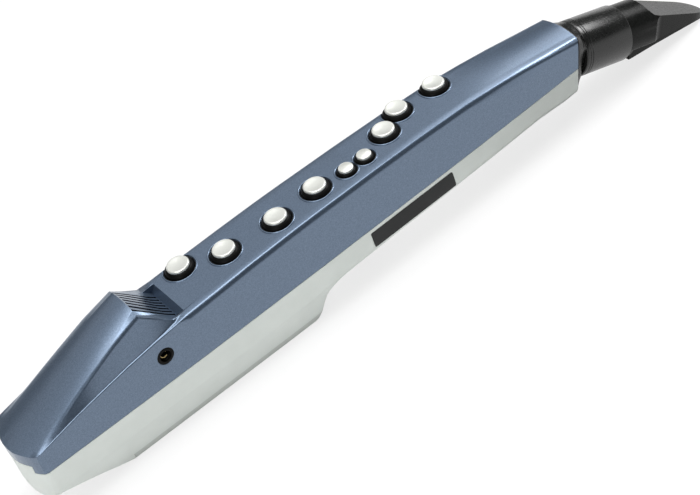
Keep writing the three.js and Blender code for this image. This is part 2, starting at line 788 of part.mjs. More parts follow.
const octavePlaces = [['octave_key_low', octaveX], ['octave_key_high', octaveX + 2 * octavePitch]];
const restX = octaveX + octavePitch;
const buttonNames = ['power_button', 'tone_button', 'volume_down_button', 'volume_up_button'];
const buttonPlaces = buttonNames.map((name, i) => [name, buttonX + i * buttonPitch]);
const lensX = buttonX - buttonPitch * 0.7;
const screwPlaces = [bellyEndX + bellyNose + screwHeadRadius, octaveX - octaveLength,
  lensX + buttonPitch / 2];

function octavePlate(extra, height, z) {
  return planPlate(roundedPlan(octaveLength + 2 * extra, octaveHalfWidth + extra, octaveLength / 3),
    height, z, 4);
}

function rearCover() {
  const holes = octavePlaces.map(([, x]) => (
    toSolid(octavePlate(seat, wall * 4, -wall * 2).applyMatrix4(floorFrame(x)))));
  for (const [, x] of buttonPlaces) {
    holes.push(toSolid(post(buttonRadius + seat, wall * 4, 0, 0, -wall * 2, 8)
      .applyMatrix4(floorFrame(x))));
  }
  holes.push(toSolid(post(lensRadius + seat, wall * 4, 0, 0, -wall * 2, 8)
    .applyMatrix4(floorFrame(lensX))));
  for (const x of screwPlaces) {
    for (const side of [-1, 1]) {
      holes.push(toSolid(post(screwHeadRadius + seat, overrun / 4, 0, side * mainHalfWidth * 0.8,
        -overrun / 4 + screwHead, 8).applyMatrix4(floorFrame(x))));
    }
  }
  return join([shell.intersect(belowParting), footTab(0).intersect(shell), ...mainPosts()])
    .subtract(coverBlock(seat)).subtract(join(holes));
}

// Key caps: a dished or domed disc with a rounded edge
function keyCap(key) {
  const top = key.height;
  const r = key.cap;
  const edge = Math.min(capEdge, r / 3);
  return turned([
    [0, top - capThickness],
    [r, top - capThickness],
    [r, top - edge],
    [r - edge, top],
    [r * 0.5, top + (key.dished ? -dishDepth : dishDepth) * 0.75],
    [0, top + (key.dished ? -dishDepth : dishDepth)],
  ], 12);
}

// Key base: a tapered body under the cap, on a stem that a washer holds under the key frame
function keyBase(key) {
  const down = key.frame.elements[14] - boardZ(key.x) - switchHeight - keyTravel - seat;
  const washer = wall + frameThickness + 5 * seat;
  const base = turned([
    [0, -down],
    [stemRadius, -down],
    [stemRadius, -washer - washerThickness],
    [washerRadius, -washer - washerThickness],
    [washerRadius, -washer],
    [stemRadius, -washer],
    [stemRadius, -baseDepth],
    [key.well - wellGap, -baseDepth],
    [key.well - wellGap, 0],
    [key.cap, key.height - capThickness - capSeat],
    [0, key.height - capThickness - capSeat],
  ], 12);
  return neighbourCuts(key).reduce((solid, cut) => solid.subtract(cut),
    toSolid(base.applyMatrix4(key.frame)).intersect(keyZone(edgeWall + seat)));
}

// Bases that would touch are cut flat along the line between their keys
function neighbourCuts(key) {
  const size = 4 * bigWell;
  return keys.filter((other) => {
    const apart = Math.hypot(other.x - key.x, other.y - key.y);
    return other !== key && apart < key.well + other.well - 2 * wellGap + seat;
  }).map((other) => {
    const apart = Math.hypot(other.x - key.x, other.y - key.y);
    const reach = apart * key.well / (key.well + other.well) - seat / 2;
    return toSolid(box(size, size, size, reach + size / 2, 0, key.frame.elements[14])
      .rotateZ(Math.atan2(other.y - key.y, other.x - key.x)).translate(key.x, key.y, 0));
  });
}

// Black frame under the front cover: a plate with a hole for every stem, on posts from the key board
function keyFramePlate() {
  const points = [];
  const steps = 5;
  const start = rimX + wall * 3;
  const xAt = (i) => lerp(start, boardEndX, i / steps);
  const upper = (x) => topZ(x) - wall - 3 * seat - crownAt(x);
  for (let i = 0; i <= steps; i += 1) points.push([xAt(i), upper(xAt(i))]);
  for (let i = steps; i >= 0; i -= 1) points.push([xAt(i), upper(xAt(i)) - frameThickness]);
  const plate = toSolid(crossPlate(points.reverse(), frameHalfWidth));
  const bores = keys.map((key) => toSolid(post(stemRadius + seat, overrun, 0, 0, -overrun / 2, 8)
    .applyMatrix4(key.frame)));
  const legs = framePosts.map(([x, y]) => {
    const low = boardZ(x) + seat;
    const high = upper(x) - frameThickness / 2;
    return toSolid(post(stemRadius * 0.7, high - low, x, y, low, 6));
  });
  return join([plate.subtract(join(bores)), ...legs]);
}

function keyBoard() {
  return crossPlate([
    [boardStartX, boardZ(boardStartX)],
    [boardStartX, boardZ(boardStartX) - boardThickness],
    [boardEndX, boardZ(boardEndX) - boardThickness],
    [boardEndX, boardZ(boardEndX)],
  ].reverse(), boardHalfWidth);
}

// Rubber pad on the key board, with a dome under every cap
function keyPad() {
  const sheet = toSolid(crossPlate([
    [boardStartX, boardZ(boardStartX) + seat],
    [boardEndX, boardZ(boardEndX) + seat],
    [boardEndX, boardZ(boardEndX) + seat + padThickness],
    [boardStartX, boardZ(boardStartX) + seat + padThickness],
  ], boardHalfWidth));
  const pitch = Math.atan2(boardDrop, boardEndX - boardStartX);
  const domes = keys.map((key) => toSolid(turned([
    [0, 0], [switchSize / 2, 0], [switchSize / 3, switchHeight - seat - padThickness / 2],
    [0, switchHeight - seat - padThickness / 2],
  ], 6).rotateY(pitch).translate(key.x, key.y, boardZ(key.x) + seat + padThickness / 2)));
  const holes = framePosts.map(([x, y]) => toSolid(post(stemRadius, wall * 2, x, y, boardZ(x) - wall, 8)));
  return join([sheet, ...domes]).subtract(join(holes));
}

// Speaker behind the grille, on a baffle that fills the housing around it
const grillePitch = Math.atan2(hoodHeight + pocketDepth, valleyX - ridgeX);
const speakerFrame = new THREE.Matrix4()
  .makeRotationY(Math.PI / 2 - grillePitch)
  .setPosition(
    (ridgeX + slopeEndX) / 2 - speakerSet * Math.sin(grillePitch),
    0,
    hoodHeight / 2 - speakerSet * Math.cos(grillePitch),
  );

function speakerBaffle() {
  const slab = box(bodyLength / 4, bodyLength / 4, baffleThickness, 0, 0, -baffleThickness / 2)
    .applyMatrix4(speakerFrame);
  const hole = post(speakerRadius - wall, overrun, 0, 0, -overrun / 2).applyMatrix4(speakerFrame);
  const upper = partingBlock(wall, true);
  return lining.intersect(toSolid(slab)).intersect(upper).subtract(toSolid(hole))
    .subtract(pocketPan()).subtract(toSolid(rod(jackThroat * 1.6, jackLength * 3, -jackLength, 0, 0)
      .rotateZ(Math.PI / 2).translate(jackX, -topHalf(jackX), -jackDepth)));
}

function speakerBasket() {
  const r = speakerRadius;
  return turned([
    [magnetRadius, -speakerDepth], [magnetRadius + wall / 2, -speakerDepth],
    [r - wall, -wall], [r, -wall], [r, -seat], [r - wall, -seat], [r - wall * 1.3, -wall * 0.8],
    [magnetRadius, -speakerDepth + wall / 2], [magnetRadius, -speakerDepth],
  ], 12);
}

function speakerCone() {
  const r = speakerRadius - wall * 1.6;
  return turned([
    [0, -speakerDepth + wall], [magnetRadius * 0.8, -speakerDepth + wall], [r, -wall * 0.9],
    [r, -wall * 0.5], [r * 0.9, -wall * 0.2], [r * 0.8, -wall * 0.6],
    [magnetRadius * 0.7, -speakerDepth + wall * 1.4], [0, -speakerDepth + wall * 1.9],
  ], 12);
}

function cell() {
  const r = cellRadius;
  const body = cellLength - cellNib;
  return turned([
    [0, 0], [r - 0.5 * cellNib, 0], [r, 0.5 * cellNib], [r, body - 0.5 * cellNib], [r - 0.5 * cellNib, body],
    [cellNibRadius, body], [cellNibRadius, cellLength], [0, cellLength],
  ], 12).rotateY(Math.PI / 2);
}

const cellPlaces = [];
for (const row of [0, 1]) {
  for (const side of [-1, 1]) {
    cellPlaces.push([cellStart + row * (cellLength + cellGap), side * cellPitchY]);
  }
}
const cellsEnd = cellStart + cellRun;

function batteryTray() {
  const length = cellsEnd + springLength + trayWall - (bellyX + trayWall);
  const top = cellZ + cellRadius + seat + trayWall;
  const half = cellPitchY + cellRadius + seat + traySide;
  const bottom = cellZ + trayWall;
  const block = toSolid(box(length, 2 * half, top - bottom,
    bellyX + trayWall + length / 2, 0, (top + bottom) / 2));
  const roomLength = cellRun + 2 * springLength;
  const room = [-1, 1].map((side) => toSolid(rod(cellRadius + seat, roomLength,
    cellStart - springLength, side * cellPitchY, cellZ)));
  const middle = toSolid(box(roomLength, 2 * cellPitchY, cellRadius,
    (cellStart + cellsEnd) / 2, 0, cellZ - cellRadius / 2 - cellRadius * 0.1));
  const slit = toSolid(box(contactThickness + 2 * seat, 2 * (cellPitchY + cellRadius * 0.6 + seat),
    cellRadius * 1.2 + 2 * seat, cellsEnd + seat + contactThickness / 2, 0, cellZ));
  return block.subtract(join(room)).subtract(middle).subtract(slit);
}

// One plate joins the two rows at the far end; each row has its own spring at the near end
function contactPlate() {
  return box(contactThickness, 2 * (cellPitchY + cellRadius * 0.6), cellRadius * 1.2,
    cellsEnd + seat + contactThickness / 2, 0, cellZ);
}

function cellSpring(side) {
  const start = cellStart - springLength;
  const plate = box(contactThickness, cellRadius * 1.2, cellRadius * 1.2,
    start + contactThickness / 2, side * cellPitchY, cellZ);
  const coil = turned([
    [0, -contactThickness / 2], [cellRadius * 0.55, -contactThickness / 2],
    [cellRadius * 0.3, springLength - contactThickness - seat],
    [0, springLength - contactThickness - seat],
  ], 10).rotateY(Math.PI / 2).translate(start + contactThickness, side * cellPitchY, cellZ);
  return toSolid(plate).add(toSolid(coil));
}

// Main board on the floor of the slim part
const mainZ = (x) => floorZ(x) + wall + mainRise;

function mainBoard() {
  return crossPlate([
    [mainStartX, mainZ(mainStartX)],
    [mainStartX, mainZ(mainStartX) - boardThickness],
    [mainEndX, mainZ(mainEndX) - boardThickness],
    [mainEndX, mainZ(mainEndX)],
  ].reverse(), mainHalfWidth);
}

function mainPosts() {
  const posts = [];
  for (const x of [mainStartX + stemRadius * 2, mainEndX - stemRadius * 2]) {
    for (const side of [-1, 1]) {
      const low = floorZ(x) + wall / 2;
      const boardLine = lerp(mainZ(mainStartX), mainZ(mainEndX), (x - mainStartX) / (mainEndX - mainStartX));
      const high = boardLine - boardThickness - seat - stemRadius * 0.1;
      posts.push(toSolid(post(stemRadius, high - low, x, side * (mainHalfWidth - stemRadius), low, 12)));
    }
  }
  return posts;
}

const mainLine = (x) => lerp(mainZ(mainStartX), mainZ(mainEndX), (x - mainStartX) / (mainEndX - mainStartX));
const mainPitch = Math.atan2(mainZ(mainStartX) - mainZ(mainEndX), mainEndX - mainStartX);

// Back keys press down on the main board's switches through short stems
const stemGap = padThickness + 2 * buttonTravel + 2 * seat;

function backStem(x, radius, start) {
  const frame = floorFrame(x);
  const end = mainLine(x) - boardThickness - floorZ(x) - stemGap;
  return post(radius, end - start, 0, 0, start, 6).applyMatrix4(frame);
}

function octaveKey(x) {
  const frame = floorFrame(x);
  const pad = octavePlate(0, octaveHeight + wall + octaveFlange / 2 + seat, -octaveHeight);
  const flange = octavePlate(octaveFlange, octaveFlange, wall + seat);
  return join([toSolid(pad.applyMatrix4(frame)), toSolid(flange.applyMatrix4(frame)),
    toSolid(backStem(x, stemRadius, wall))]);
}

function backButton(x) {
  const frame = floorFrame(x);
  const cap = post(buttonRadius, buttonHeight + wall + buttonFlange / 2 + seat, 0, 0, -buttonHeight, 8);
  const flange = post(buttonRadius + buttonFlange, buttonFlange, 0, 0, wall + seat, 8);
  return join([toSolid(cap.applyMatrix4(frame)), toSolid(flange.applyMatrix4(frame)),
    toSolid(backStem(x, stemRadius * 0.6, wall))]);
}

// Rubber pad under the main board, with a dome over every back key and button
function backPad() {
  const start = octaveX - octaveLength;
  const under = (x) => mainLine(x) - boardThickness - seat;
  const sheet = toSolid(crossPlate([
    [start, under(start) - padThickness],
    [mainEndX, under(mainEndX) - padThickness],
    [mainEndX, under(mainEndX)],
    [start, under(start)],
  ], switchSize * 0.7));
  const domes = [...octavePlaces, ...buttonPlaces].map(([, x]) => {
    const drop = stemGap - buttonTravel - 2 * seat;
    return toSolid(turned([
      [0, -drop], [stemRadius * 0.8, -drop], [stemRadius * 1.1, -padThickness / 2], [0, -padThickness / 2],
    ], 8).rotateY(mainPitch).translate(x, 0, under(x)));
  });
  return join([sheet, ...domes]);
}

// Thumb hook: the right thumb lies on its foot side and carries the weight, and its lip curls round it
function thumbHook() {
  const t = hookThickness;
  const back = hookReach / 2;
  const root = -seat - t * 0.3;
  const base = planPlate(roundedPlan(hookReach + 2 * t, hookHalfWidth, t), t * 0.6, -seat - t * 0.6, 4);
  const shape = new THREE.Shape();
  shape.moveTo(back, root);
  shape.lineTo(back - t, root);
  shape.lineTo(back - t, -hookHeight + t * 2);
  shape.quadraticCurveTo(back - t, -hookHeight + t, back - t * 2, -hookHeight + t);
  shape.lineTo(-back + t, -hookHeight + t);
  shape.quadraticCurveTo(-back, -hookHeight + t, -back, -hookHeight + t * 0.5);
  shape.quadraticCurveTo(-back, -hookHeight, -back + t, -hookHeight);
  shape.lineTo(back - t * 1.5, -hookHeight);
  shape.quadraticCurveTo(back, -hookHeight, back, -hookHeight + t * 1.5);
  const drawn = { depth: 2 * hookHalfWidth, bevelEnabled: false, curveSegments: 4 };
  const arm = new THREE.ExtrudeGeometry(shape, drawn).rotateX(Math.PI / 2).translate(0, hookHalfWidth, 0);
  return toSolid(base).add(toSolid(arm)).transform(floorFrame(hookX).elements);
}

function thumbRest() {
  return turned([
    [0, 0], [restRadius * 0.4, 0], [restRadius * 0.8, -restHeight * 0.3],
    [restRadius, 0], [restRadius, restHeight], [0, restHeight],
  ], 14);
}

// Strap ring: an eye on a flat foot
function strapRing() {
  const frame = floorFrame(ringX);
  const shape = new THREE.Shape();
  shape.absarc(0, 0, ringOuter, 0, Math.PI * 2, false);
  const eye = new THREE.Path();
  eye.absarc(0, 0, ringInner, 0, Math.PI * 2, true);
  shape.holes.push(eye);
  const drawn = { depth: ringThickness, bevelEnabled: false, curveSegments: 10 };
  const ring = new THREE.ExtrudeGeometry(shape, drawn)
    .translate(0, 0, -ringThickness / 2).rotateX(Math.PI / 2).rotateZ(Math.PI / 2)
    .translate(0, 0, -ringOuter - ringBase * 0.4);
  const foot = planPlate(roundedPlan(ringThickness * 3, ringOuter, ringThickness), ringBase,
    -seat - ringBase, 4);
  return toSolid(ring).add(toSolid(foot)).subtract(toSolid(box(overrun, overrun, overrun / 2, 0, 0,
    overrun / 4 - seat))).transform(frame.elements);
}

// Phones jack: a sleeve with its bore in the left wall
const jackWallY = topHalf(jackX) + (creaseZ(jackX) + jackDepth) * Math.tan(leanAt(jackX));

function jackSleeve() {
  const nose = jackThroat - seat;
  const profile = [
    [jackBore, -jackLength], [jackBody, -jackLength], [jackBody, -wall - seat * 2],
    [nose, -wall - seat * 2], [nose, -jackSink - seat], [jackBore + seat * 2, -jackSink - seat],
    [jackBore, -jackSink - wall / 2], [jackBore, -jackLength],
  ];
  return turned(profile, 16).rotateX(Math.PI / 2).translate(jackX, -jackWallY, -jackDepth);
}

function jackContact() {
  const r = jackBore - seat;
  return turned([
    [r * 0.7, -jackLength * 0.7], [r, -jackLength * 0.7], [r, -jackSink - wall], [r * 0.7, -jackSink - wall],
    [r * 0.7, -jackLength * 0.7],
  ], 16).rotateX(Math.PI / 2).translate(jackX, -jackWallY, -jackDepth);
}

function usbPort() {
  const face = topHalf(usbX) + (creaseZ(usbX) + usbDepth) * Math.tan(leanAt(usbX)) - wall / 2;
  const body = toSolid(box(usbWidth, usbLength, usbHeight, usbX, face - usbLength / 2, -usbDepth));
  const mouth = toSolid(box(usbWidth - wall / 2, usbLength, usbHeight - wall / 2, usbX,
    face - usbLength / 2 + wall, -usbDepth));
  return body.subtract(mouth);
}

function jackBoard() {
  const face = topHalf(usbX) + (creaseZ(usbX) + usbDepth) * Math.tan(leanAt(usbX)) - wall;
  return box(jackLength * 1.6, 2 * (face - seat * 2), boardThickness, usbX - wall, 0,
    jackBoardZ - boardThickness / 2);
}

// Neck collar: a plug in the housing's mouth, flaring in to the barrel's circle
function neckCollar() {
  const plug = loft([
    ringOnNeckPlane(bodyEnd - plugLength, wall + seat, false),
    ringOnNeckPlane(bodyEnd + seat * 2, wall + seat, false),
  ]);
  const lip = ringOnNeckPlane(bodyEnd - seat, collarLip, true);
  const flareSteps = 3;
  const rings = [];
  for (let i = 0; i <= flareSteps; i += 1) {
    const share = i / flareSteps;
    const blend = 1 - (1 - share) ** flareCurveShare;
    rings.push(lip.map((p) => {
      const angle = Math.atan2(p.z, p.y);
      const round = new THREE.Vector3(0, barrelRadius * Math.cos(angle), barrelRadius * Math.sin(angle));
      return new THREE.Vector3(bodyEnd + seat + share * (collarLength - 2 * seat),
        lerp(p.y, round.y, blend), lerp(p.z, round.z, blend));
    }));
  }
  const bore = toSolid(rod(tubeRadius + seat, bodyLength / 4, bodyEnd - overrun, 0, 0));
  return toSolid(plug).add(toSolid(loft(rings))).subtract(bore);
}

function neckBarrel() {
  const start = bodyEnd + collarLength;
  const c = barrelChamfer;
  const groove = barrelEnd + tenonLength * 0.55;
  return turned([
    [airBore, start], [barrelRadius - c, start], [barrelRadius, start + c], [barrelRadius, barrelEnd - c],
    [barrelRadius - c, barrelEnd], [tenonRadius, barrelEnd], [tenonRadius, groove],
    [tenonRadius - sealInset, groove], [tenonRadius - sealInset, groove + sealWidth],
    [tenonRadius, groove + sealWidth], [tenonRadius, barrelEnd + tenonLength],
    [airBore, barrelEnd + tenonLength], [airBore, start],
  ], 24).rotateY(Math.PI / 2);
}

function tenonSeal() {
  const groove = barrelEnd + tenonLength * 0.55;
  const low = tenonRadius - sealInset + seat * 0.8;
  const high = socketRadius - seat * 0.6;
  const g = seat * 0.4;
  return turned([
    [low, groove + g], [high - g, groove + g], [high, groove + sealWidth / 2],
    [high - g, groove + sealWidth - g], [low, groove + sealWidth - g], [low, groove + g],
  ], 14).rotateY(Math.PI / 2);
}

const shankStart = barrelEnd + seat;
const shankEnd = shankStart + shankLength;
const beakFoot = shankEnd + beakStepRun;
const beakTopZ = shankRadius - beakStepDepth;
const tableZ = (s) => -lerp(tableDepth, tipTableDepth, (s - shankStart) / (tipEnd - shankStart));

// Plan outline of the beak: a taper that ends in a round tip
function beakPlan(end) {
  const shape = new THREE.Shape();
  shape.moveTo(shankStart - overrun, -shankRadius);
  shape.lineTo(shankEnd + beakStepRun / 2, -shankRadius);
  shape.quadraticCurveTo(beakFoot, -beakHalfWidth, beakFoot + beakStepRun, -beakHalfWidth);
  shape.lineTo(end - tipArc, -tipHalfWidth);
  shape.bezierCurveTo(end - tipArc * 0.35, -tipHalfWidth * 0.92, end, -tipHalfWidth * 0.55, end, 0);
  shape.bezierCurveTo(end, tipHalfWidth * 0.55, end - tipArc * 0.35, tipHalfWidth * 0.92,
    end - tipArc, tipHalfWidth);
  shape.lineTo(beakFoot + beakStepRun, beakHalfWidth);
  shape.quadraticCurveTo(beakFoot, beakHalfWidth, shankEnd + beakStepRun / 2, shankRadius);
  shape.lineTo(shankStart - overrun, shankRadius);
  return planPlate(shape, 4 * shankRadius, -2 * shankRadius, 8);
}

function mouthpiece() {
  const shape = new THREE.Shape();
  const slope = (beakTopZ + tipDrop - seat * 4) / (tipEnd - beakFoot);
  const crestX = tipEnd - tipArc * 0.8;
  shape.moveTo(shankStart, -shankRadius);
  shape.lineTo(shankStart + reedSetback, -shankRadius);
  shape.lineTo(shankStart + reedSetback, tableZ(shankStart));
  shape.lineTo(tipEnd, tableZ(tipEnd));
  shape.lineTo(tipEnd, tableZ(tipEnd) + seat * 3);
  shape.quadraticCurveTo(tipEnd - tipArc * 0.3, beakTopZ - slope * (tipEnd - tipArc * 0.3 - beakFoot),
    crestX, beakTopZ - slope * (crestX - beakFoot));
  shape.lineTo(beakFoot, beakTopZ);
  shape.quadraticCurveTo(shankEnd + beakStepRun * 0.45, beakTopZ + beakStepDepth * 0.15,
    shankEnd, shankRadius);
  shape.lineTo(shankStart, shankRadius);
  const drawn = { depth: 4 * shankRadius, bevelEnabled: false, curveSegments: 6 };
  const side = new THREE.ExtrudeGeometry(shape, drawn).rotateX(Math.PI / 2).translate(0, 2 * shankRadius, 0);
  const round = rod(shankRadius, beakLength + overrun, shankStart, 0, 0, 36);
  const socket = toSolid(rod(socketRadius, tenonLength + seat * 2 + overrun, shankStart - overrun, 0, 0, 20));
  const windway = toSolid(crossPlate([
    [shankStart + tenonLength, tableZ(shankEnd) - overrun / 4],
    [tipEnd + overrun / 4, tableZ(tipEnd) - overrun / 4],
    [tipEnd + overrun / 4, tableZ(tipEnd) + seat],
    [shankStart + tenonLength + overrun / 2, tableZ(shankEnd) + windwayHeight],
    [shankStart + tenonLength, tableZ(shankEnd) + windwayHeight],
  ], windwayHalfWidth));
  const outline = toSolid(beakPlan(tipEnd));
  return toSolid(side).intersect(outline).intersect(toSolid(round)).subtract(socket)
    .subtract(windway.intersect(toSolid(box(beakLength * 2, overrun * 2, overrun * 2,
      tipEnd - tipArc * 0.25 - beakLength, 0, 0))));
}

// The reed: a tapered tongue under the mouthpiece's table, thick at its heel and thin at its tip
function reed() {
  const start = shankStart + reedSetback + reedGap;
  const end = tipEnd - reedSetback / 4;
  const bark = lerp(start, end, reedBarkShare);
  const barkZ = -lerp(reedHeelDepth, reedTipDepth, reedBarkFallShare);
  const shape = new THREE.Shape();
  shape.moveTo(start, tableZ(start) - reedGap);
  shape.lineTo(start, -reedHeelDepth);
  shape.lineTo(bark, barkZ);
  shape.lineTo(end, -reedTipDepth);
  shape.lineTo(end, tableZ(end) - reedGap);
  const side = new THREE.ExtrudeGeometry(shape, { depth: 4 * shankRadius, bevelEnabled: false })
    .rotateX(Math.PI / 2).translate(0, 2 * shankRadius, 0);
  const plan = new THREE.Shape();
  plan.moveTo(start, -reedHeelHalfWidth);
  plan.lineTo(end - tipArc / 2, -reedTipHalfWidth);
  plan.quadraticCurveTo(end, -reedTipHalfWidth, end, 0);
  plan.quadraticCurveTo(end, reedTipHalfWidth, end - tipArc / 2, reedTipHalfWidth);
  plan.lineTo(start, reedHeelHalfWidth);
  const socket = toSolid(rod(socketRadius, tenonLength + seat * 2 + overrun, shankStart - overrun, 0, 0, 20));
  return toSolid(side).intersect(toSolid(planPlate(plan, 4 * shankRadius, -2 * shankRadius, 5)))
    .intersect(toSolid(rod(reedRound, beakLength + overrun, shankStart, 0, 0, 30))).subtract(socket);
}

// Breath sensor at the inner end of the tube
const tubeEndS = bodyEnd + collarLength - seat;
const tubeStartS = bodyEnd - plugLength - sensorSize * 0.9;

function breathTube() {
  return rod(tubeRadius, tubeEndS - tubeStartS, tubeStartS, 0, 0, 12);
}

function breathSensor() {
  const s = sensorSize;
  return join([
    toSolid(box(s, s, s, tubeStartS - seat - s / 2, 0, 0)),
    toSolid(box(s * 0.7, s * 0.7, s * 1.6, tubeStartS - seat - s / 2, 0, -s * 0.8)),
  ]);
}

// Assembly: the neck group hangs in the body group, which is turned to its lie on a table
const body = new THREE.Group();
const neck = new THREE.Group();
neck.applyMatrix4(neckFrame);
body.add(neck);

body.add(named('front_cover', frontCover(), blueMetallic));
body.add(named('rear_cover', rearCover(), lightGrey));
body.add(named('battery_cover', batteryCover(), coverGrey));
for (const key of keys) {
  const cap = named(key.name, keyCap(key), satinSilver);
  cap.applyMatrix4(key.frame);
  body.add(cap);
  body.add(named(`${key.name}_base`, keyBase(key), blackRubber));
}
body.add(named('key_frame', keyFramePlate(), blackPlastic));
body.add(named('key_board', keyBoard(), boardGreen));
body.add(named('key_pad', keyPad(), blackRubber));
body.add(named('speaker_baffle', speakerBaffle(), blackPlastic));
const speaker = new THREE.Group();
speaker.applyMatrix4(speakerFrame);
body.add(speaker);
for (const [name, shape, material] of [
  ['speaker_basket', speakerBasket(), steel],
  ['speaker_cone', speakerCone(), paperBlack],
  ['speaker_magnet', post(magnetRadius, magnetDepth, 0, 0, -speakerDepth - magnetDepth - seat), steel],
]) {
  const piece = named(name, shape, material);
  piece.position.z = -baffleThickness;
  speaker.add(piece);
}

const belly = new THREE.Group();
belly.applyMatrix4(bellyFrame);
body.add(belly);
cellPlaces.forEach(([x, y], i) => {
  const piece = named(`battery_${i + 1}`, cell(), cellBlue);
  piece.position.set(x, y, cellZ);
  belly.add(piece);
});
belly.add(named('battery_tray', batteryTray(), blackPlastic));
belly.add(named('contact_plate', contactPlate(), steel));
belly.add(named('battery_spring_left', cellSpring(-1), steel));
belly.add(named('battery_spring_right', cellSpring(1), steel));

body.add(named('main_board', mainBoard(), boardGreen));
body.add(named('back_pad', backPad(), blackRubber));
for (const [name, x] of octavePlaces) {
  body.add(named(name, octaveKey(x), satinSilver));
}
for (const [name, x] of buttonPlaces) {
  body.add(named(name, backButton(x), blackRubber));
}
body.add(named('thumb_hook', thumbHook(), blackPlastic));
const rest = named('thumb_rest', thumbRest(), blackRubber);
rest.applyMatrix4(floorFrame(restX).multiply(new THREE.Matrix4().makeTranslation(0, 0, -restHeight - seat)));
body.add(rest);
body.add(named('strap_ring', strapRing(), steel));
const lens = named('indicator_lens', post(lensRadius, wall, 0, 0, 0, 8), clearLens);
lens.applyMatrix4(floorFrame(lensX));
body.add(lens);
body.add(named('phones_jack', jackSleeve(), blackPlastic));
body.add(named('jack_contact', jackContact(), brass));
body.add(named('usb_port', usbPort(), steel));
body.add(named('jack_board', jackBoard(), boardGreen));

neck.add(named('neck_collar', neckCollar(), blackPlastic));
neck.add(named('neck_barrel', neckBarrel(), blackPlastic));
neck.add(named('tenon_seal', tenonSeal(), blackRubber));
neck.add(named('mouthpiece', mouthpiece(), blackPlastic));
neck.add(named('reed', reed(), blackPlastic));
neck.add(named('breath_tube', breathTube(), clearLens));
neck.add(named('breath_sensor', breathSensor(), blackPlastic));

body.rotation.y = -restTilt;
const digitalWindController = new THREE.Group();
digitalWindController.add(body);
digitalWindController.updateMatrixWorld(true);
const whole = new THREE.Box3().setFromObject(digitalWindController, true);
const centre = whole.getCenter(new THREE.Vector3());
body.position.set(-centre.x, -centre.y, -whole.min.z);

export default digitalWindController;
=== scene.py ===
# Digital wind controller: a two-part plastic body with silver finger keys, a slotted speaker hood,
# a battery belly and a black mouthpiece on a round neck, lying on a pale table.
import json
import math
import bmesh
import bpy
from mathutils import Matrix, Vector
from mathutils.bvhtree import BVHTree

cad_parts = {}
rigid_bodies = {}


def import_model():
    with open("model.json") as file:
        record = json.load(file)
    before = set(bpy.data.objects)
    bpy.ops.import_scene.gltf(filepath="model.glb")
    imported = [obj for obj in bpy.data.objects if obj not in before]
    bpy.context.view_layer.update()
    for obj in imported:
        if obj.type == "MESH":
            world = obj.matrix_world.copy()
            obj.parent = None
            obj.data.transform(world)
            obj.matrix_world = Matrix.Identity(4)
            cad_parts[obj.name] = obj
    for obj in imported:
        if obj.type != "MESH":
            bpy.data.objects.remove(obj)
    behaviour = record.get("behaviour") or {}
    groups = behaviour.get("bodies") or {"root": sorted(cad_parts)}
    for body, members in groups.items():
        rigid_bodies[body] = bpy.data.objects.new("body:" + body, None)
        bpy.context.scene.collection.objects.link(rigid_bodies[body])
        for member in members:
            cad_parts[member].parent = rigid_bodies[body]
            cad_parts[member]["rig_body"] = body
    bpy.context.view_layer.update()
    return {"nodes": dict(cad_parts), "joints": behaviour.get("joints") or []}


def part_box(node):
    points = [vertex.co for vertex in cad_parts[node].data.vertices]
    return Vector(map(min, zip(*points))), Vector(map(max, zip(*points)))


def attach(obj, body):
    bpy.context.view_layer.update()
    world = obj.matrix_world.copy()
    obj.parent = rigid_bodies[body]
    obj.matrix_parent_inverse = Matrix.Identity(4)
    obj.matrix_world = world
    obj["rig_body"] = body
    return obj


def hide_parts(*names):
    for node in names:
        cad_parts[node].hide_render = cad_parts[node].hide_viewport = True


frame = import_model()

# Camera
# The photograph was taken with a long lens from above the phones jack side, looking along the body
# from the speaker end. The place and the turn come from fitting the keys and the body's edges.
camera_place = Vector((-0.305942, -0.618727, 0.633114))
camera_right = Vector((0.76351, -0.59579, -0.24917))
camera_down = Vector((-0.56892, -0.43796, -0.69607))
camera_forward = Vector((0.30559, 0.67322, -0.67335))
camera_data = bpy.data.cameras.new("camera")
camera_data.lens = 92.83
camera_data.sensor_width = 36
camera_data.sensor_fit = "HORIZONTAL"
camera_data.clip_start = 0.01
camera_data.clip_end = 20
camera = bpy.data.objects.new("camera", camera_data)
turn = Matrix((camera_right, -camera_down, -camera_forward)).transposed()
camera.matrix_world = Matrix.Translation(camera_place) @ turn.to_4x4()
bpy.context.scene.collection.objects.link(camera)
bpy.context.scene.camera = camera
bpy.context.scene.view_settings.view_transform = "Standard"

# Table and studio light
# A wide white table and a low round wall under one large soft light and a wider, weaker one that leans
# in from behind. Both look white, also where the object mirrors them. The light that they scatter back
# is weaker, as if grey paper lay at the mouthpiece end, with a lighter strip below the neck.
table_half = 6
wall_radius = 5.8
wall_height = 0.6
wall_segments = 96
table_white = 0.85
bounce_start = -0.1
bounce_end = 0.4
bounce_stops = ((0, 0.64), (0.13, 0.1), (0.155, 0.1), (0.175, 0.55), (0.20, 0.5), (0.24, 0.1))
table_glow_share = 0.75
room_grey = 0.055
room_tint = (0.97, 0.98, 1, 1)
overhead_spread = math.radians(50)
overhead_level = 2.3
behind_spread = math.radians(82)
behind_tilt = math.radians(-27)
behind_level = 0.82
wall_grey = 0.06


def white_where_seen(nodes, links):
    """1 for the camera's rays and for glossy and transmitted ones, which see plain white, else 0."""
    rays = nodes.new("ShaderNodeLightPath")
    seen = rays.outputs["Is Camera Ray"]
    for kind in ("Is Glossy Ray", "Is Transmission Ray"):
        either = nodes.new("ShaderNodeMath")
        either.operation = "MAXIMUM"
        links.new(seen, either.inputs[0])
        links.new(rays.outputs[kind], either.inputs[1])
        seen = either.outputs["Value"]
    return seen


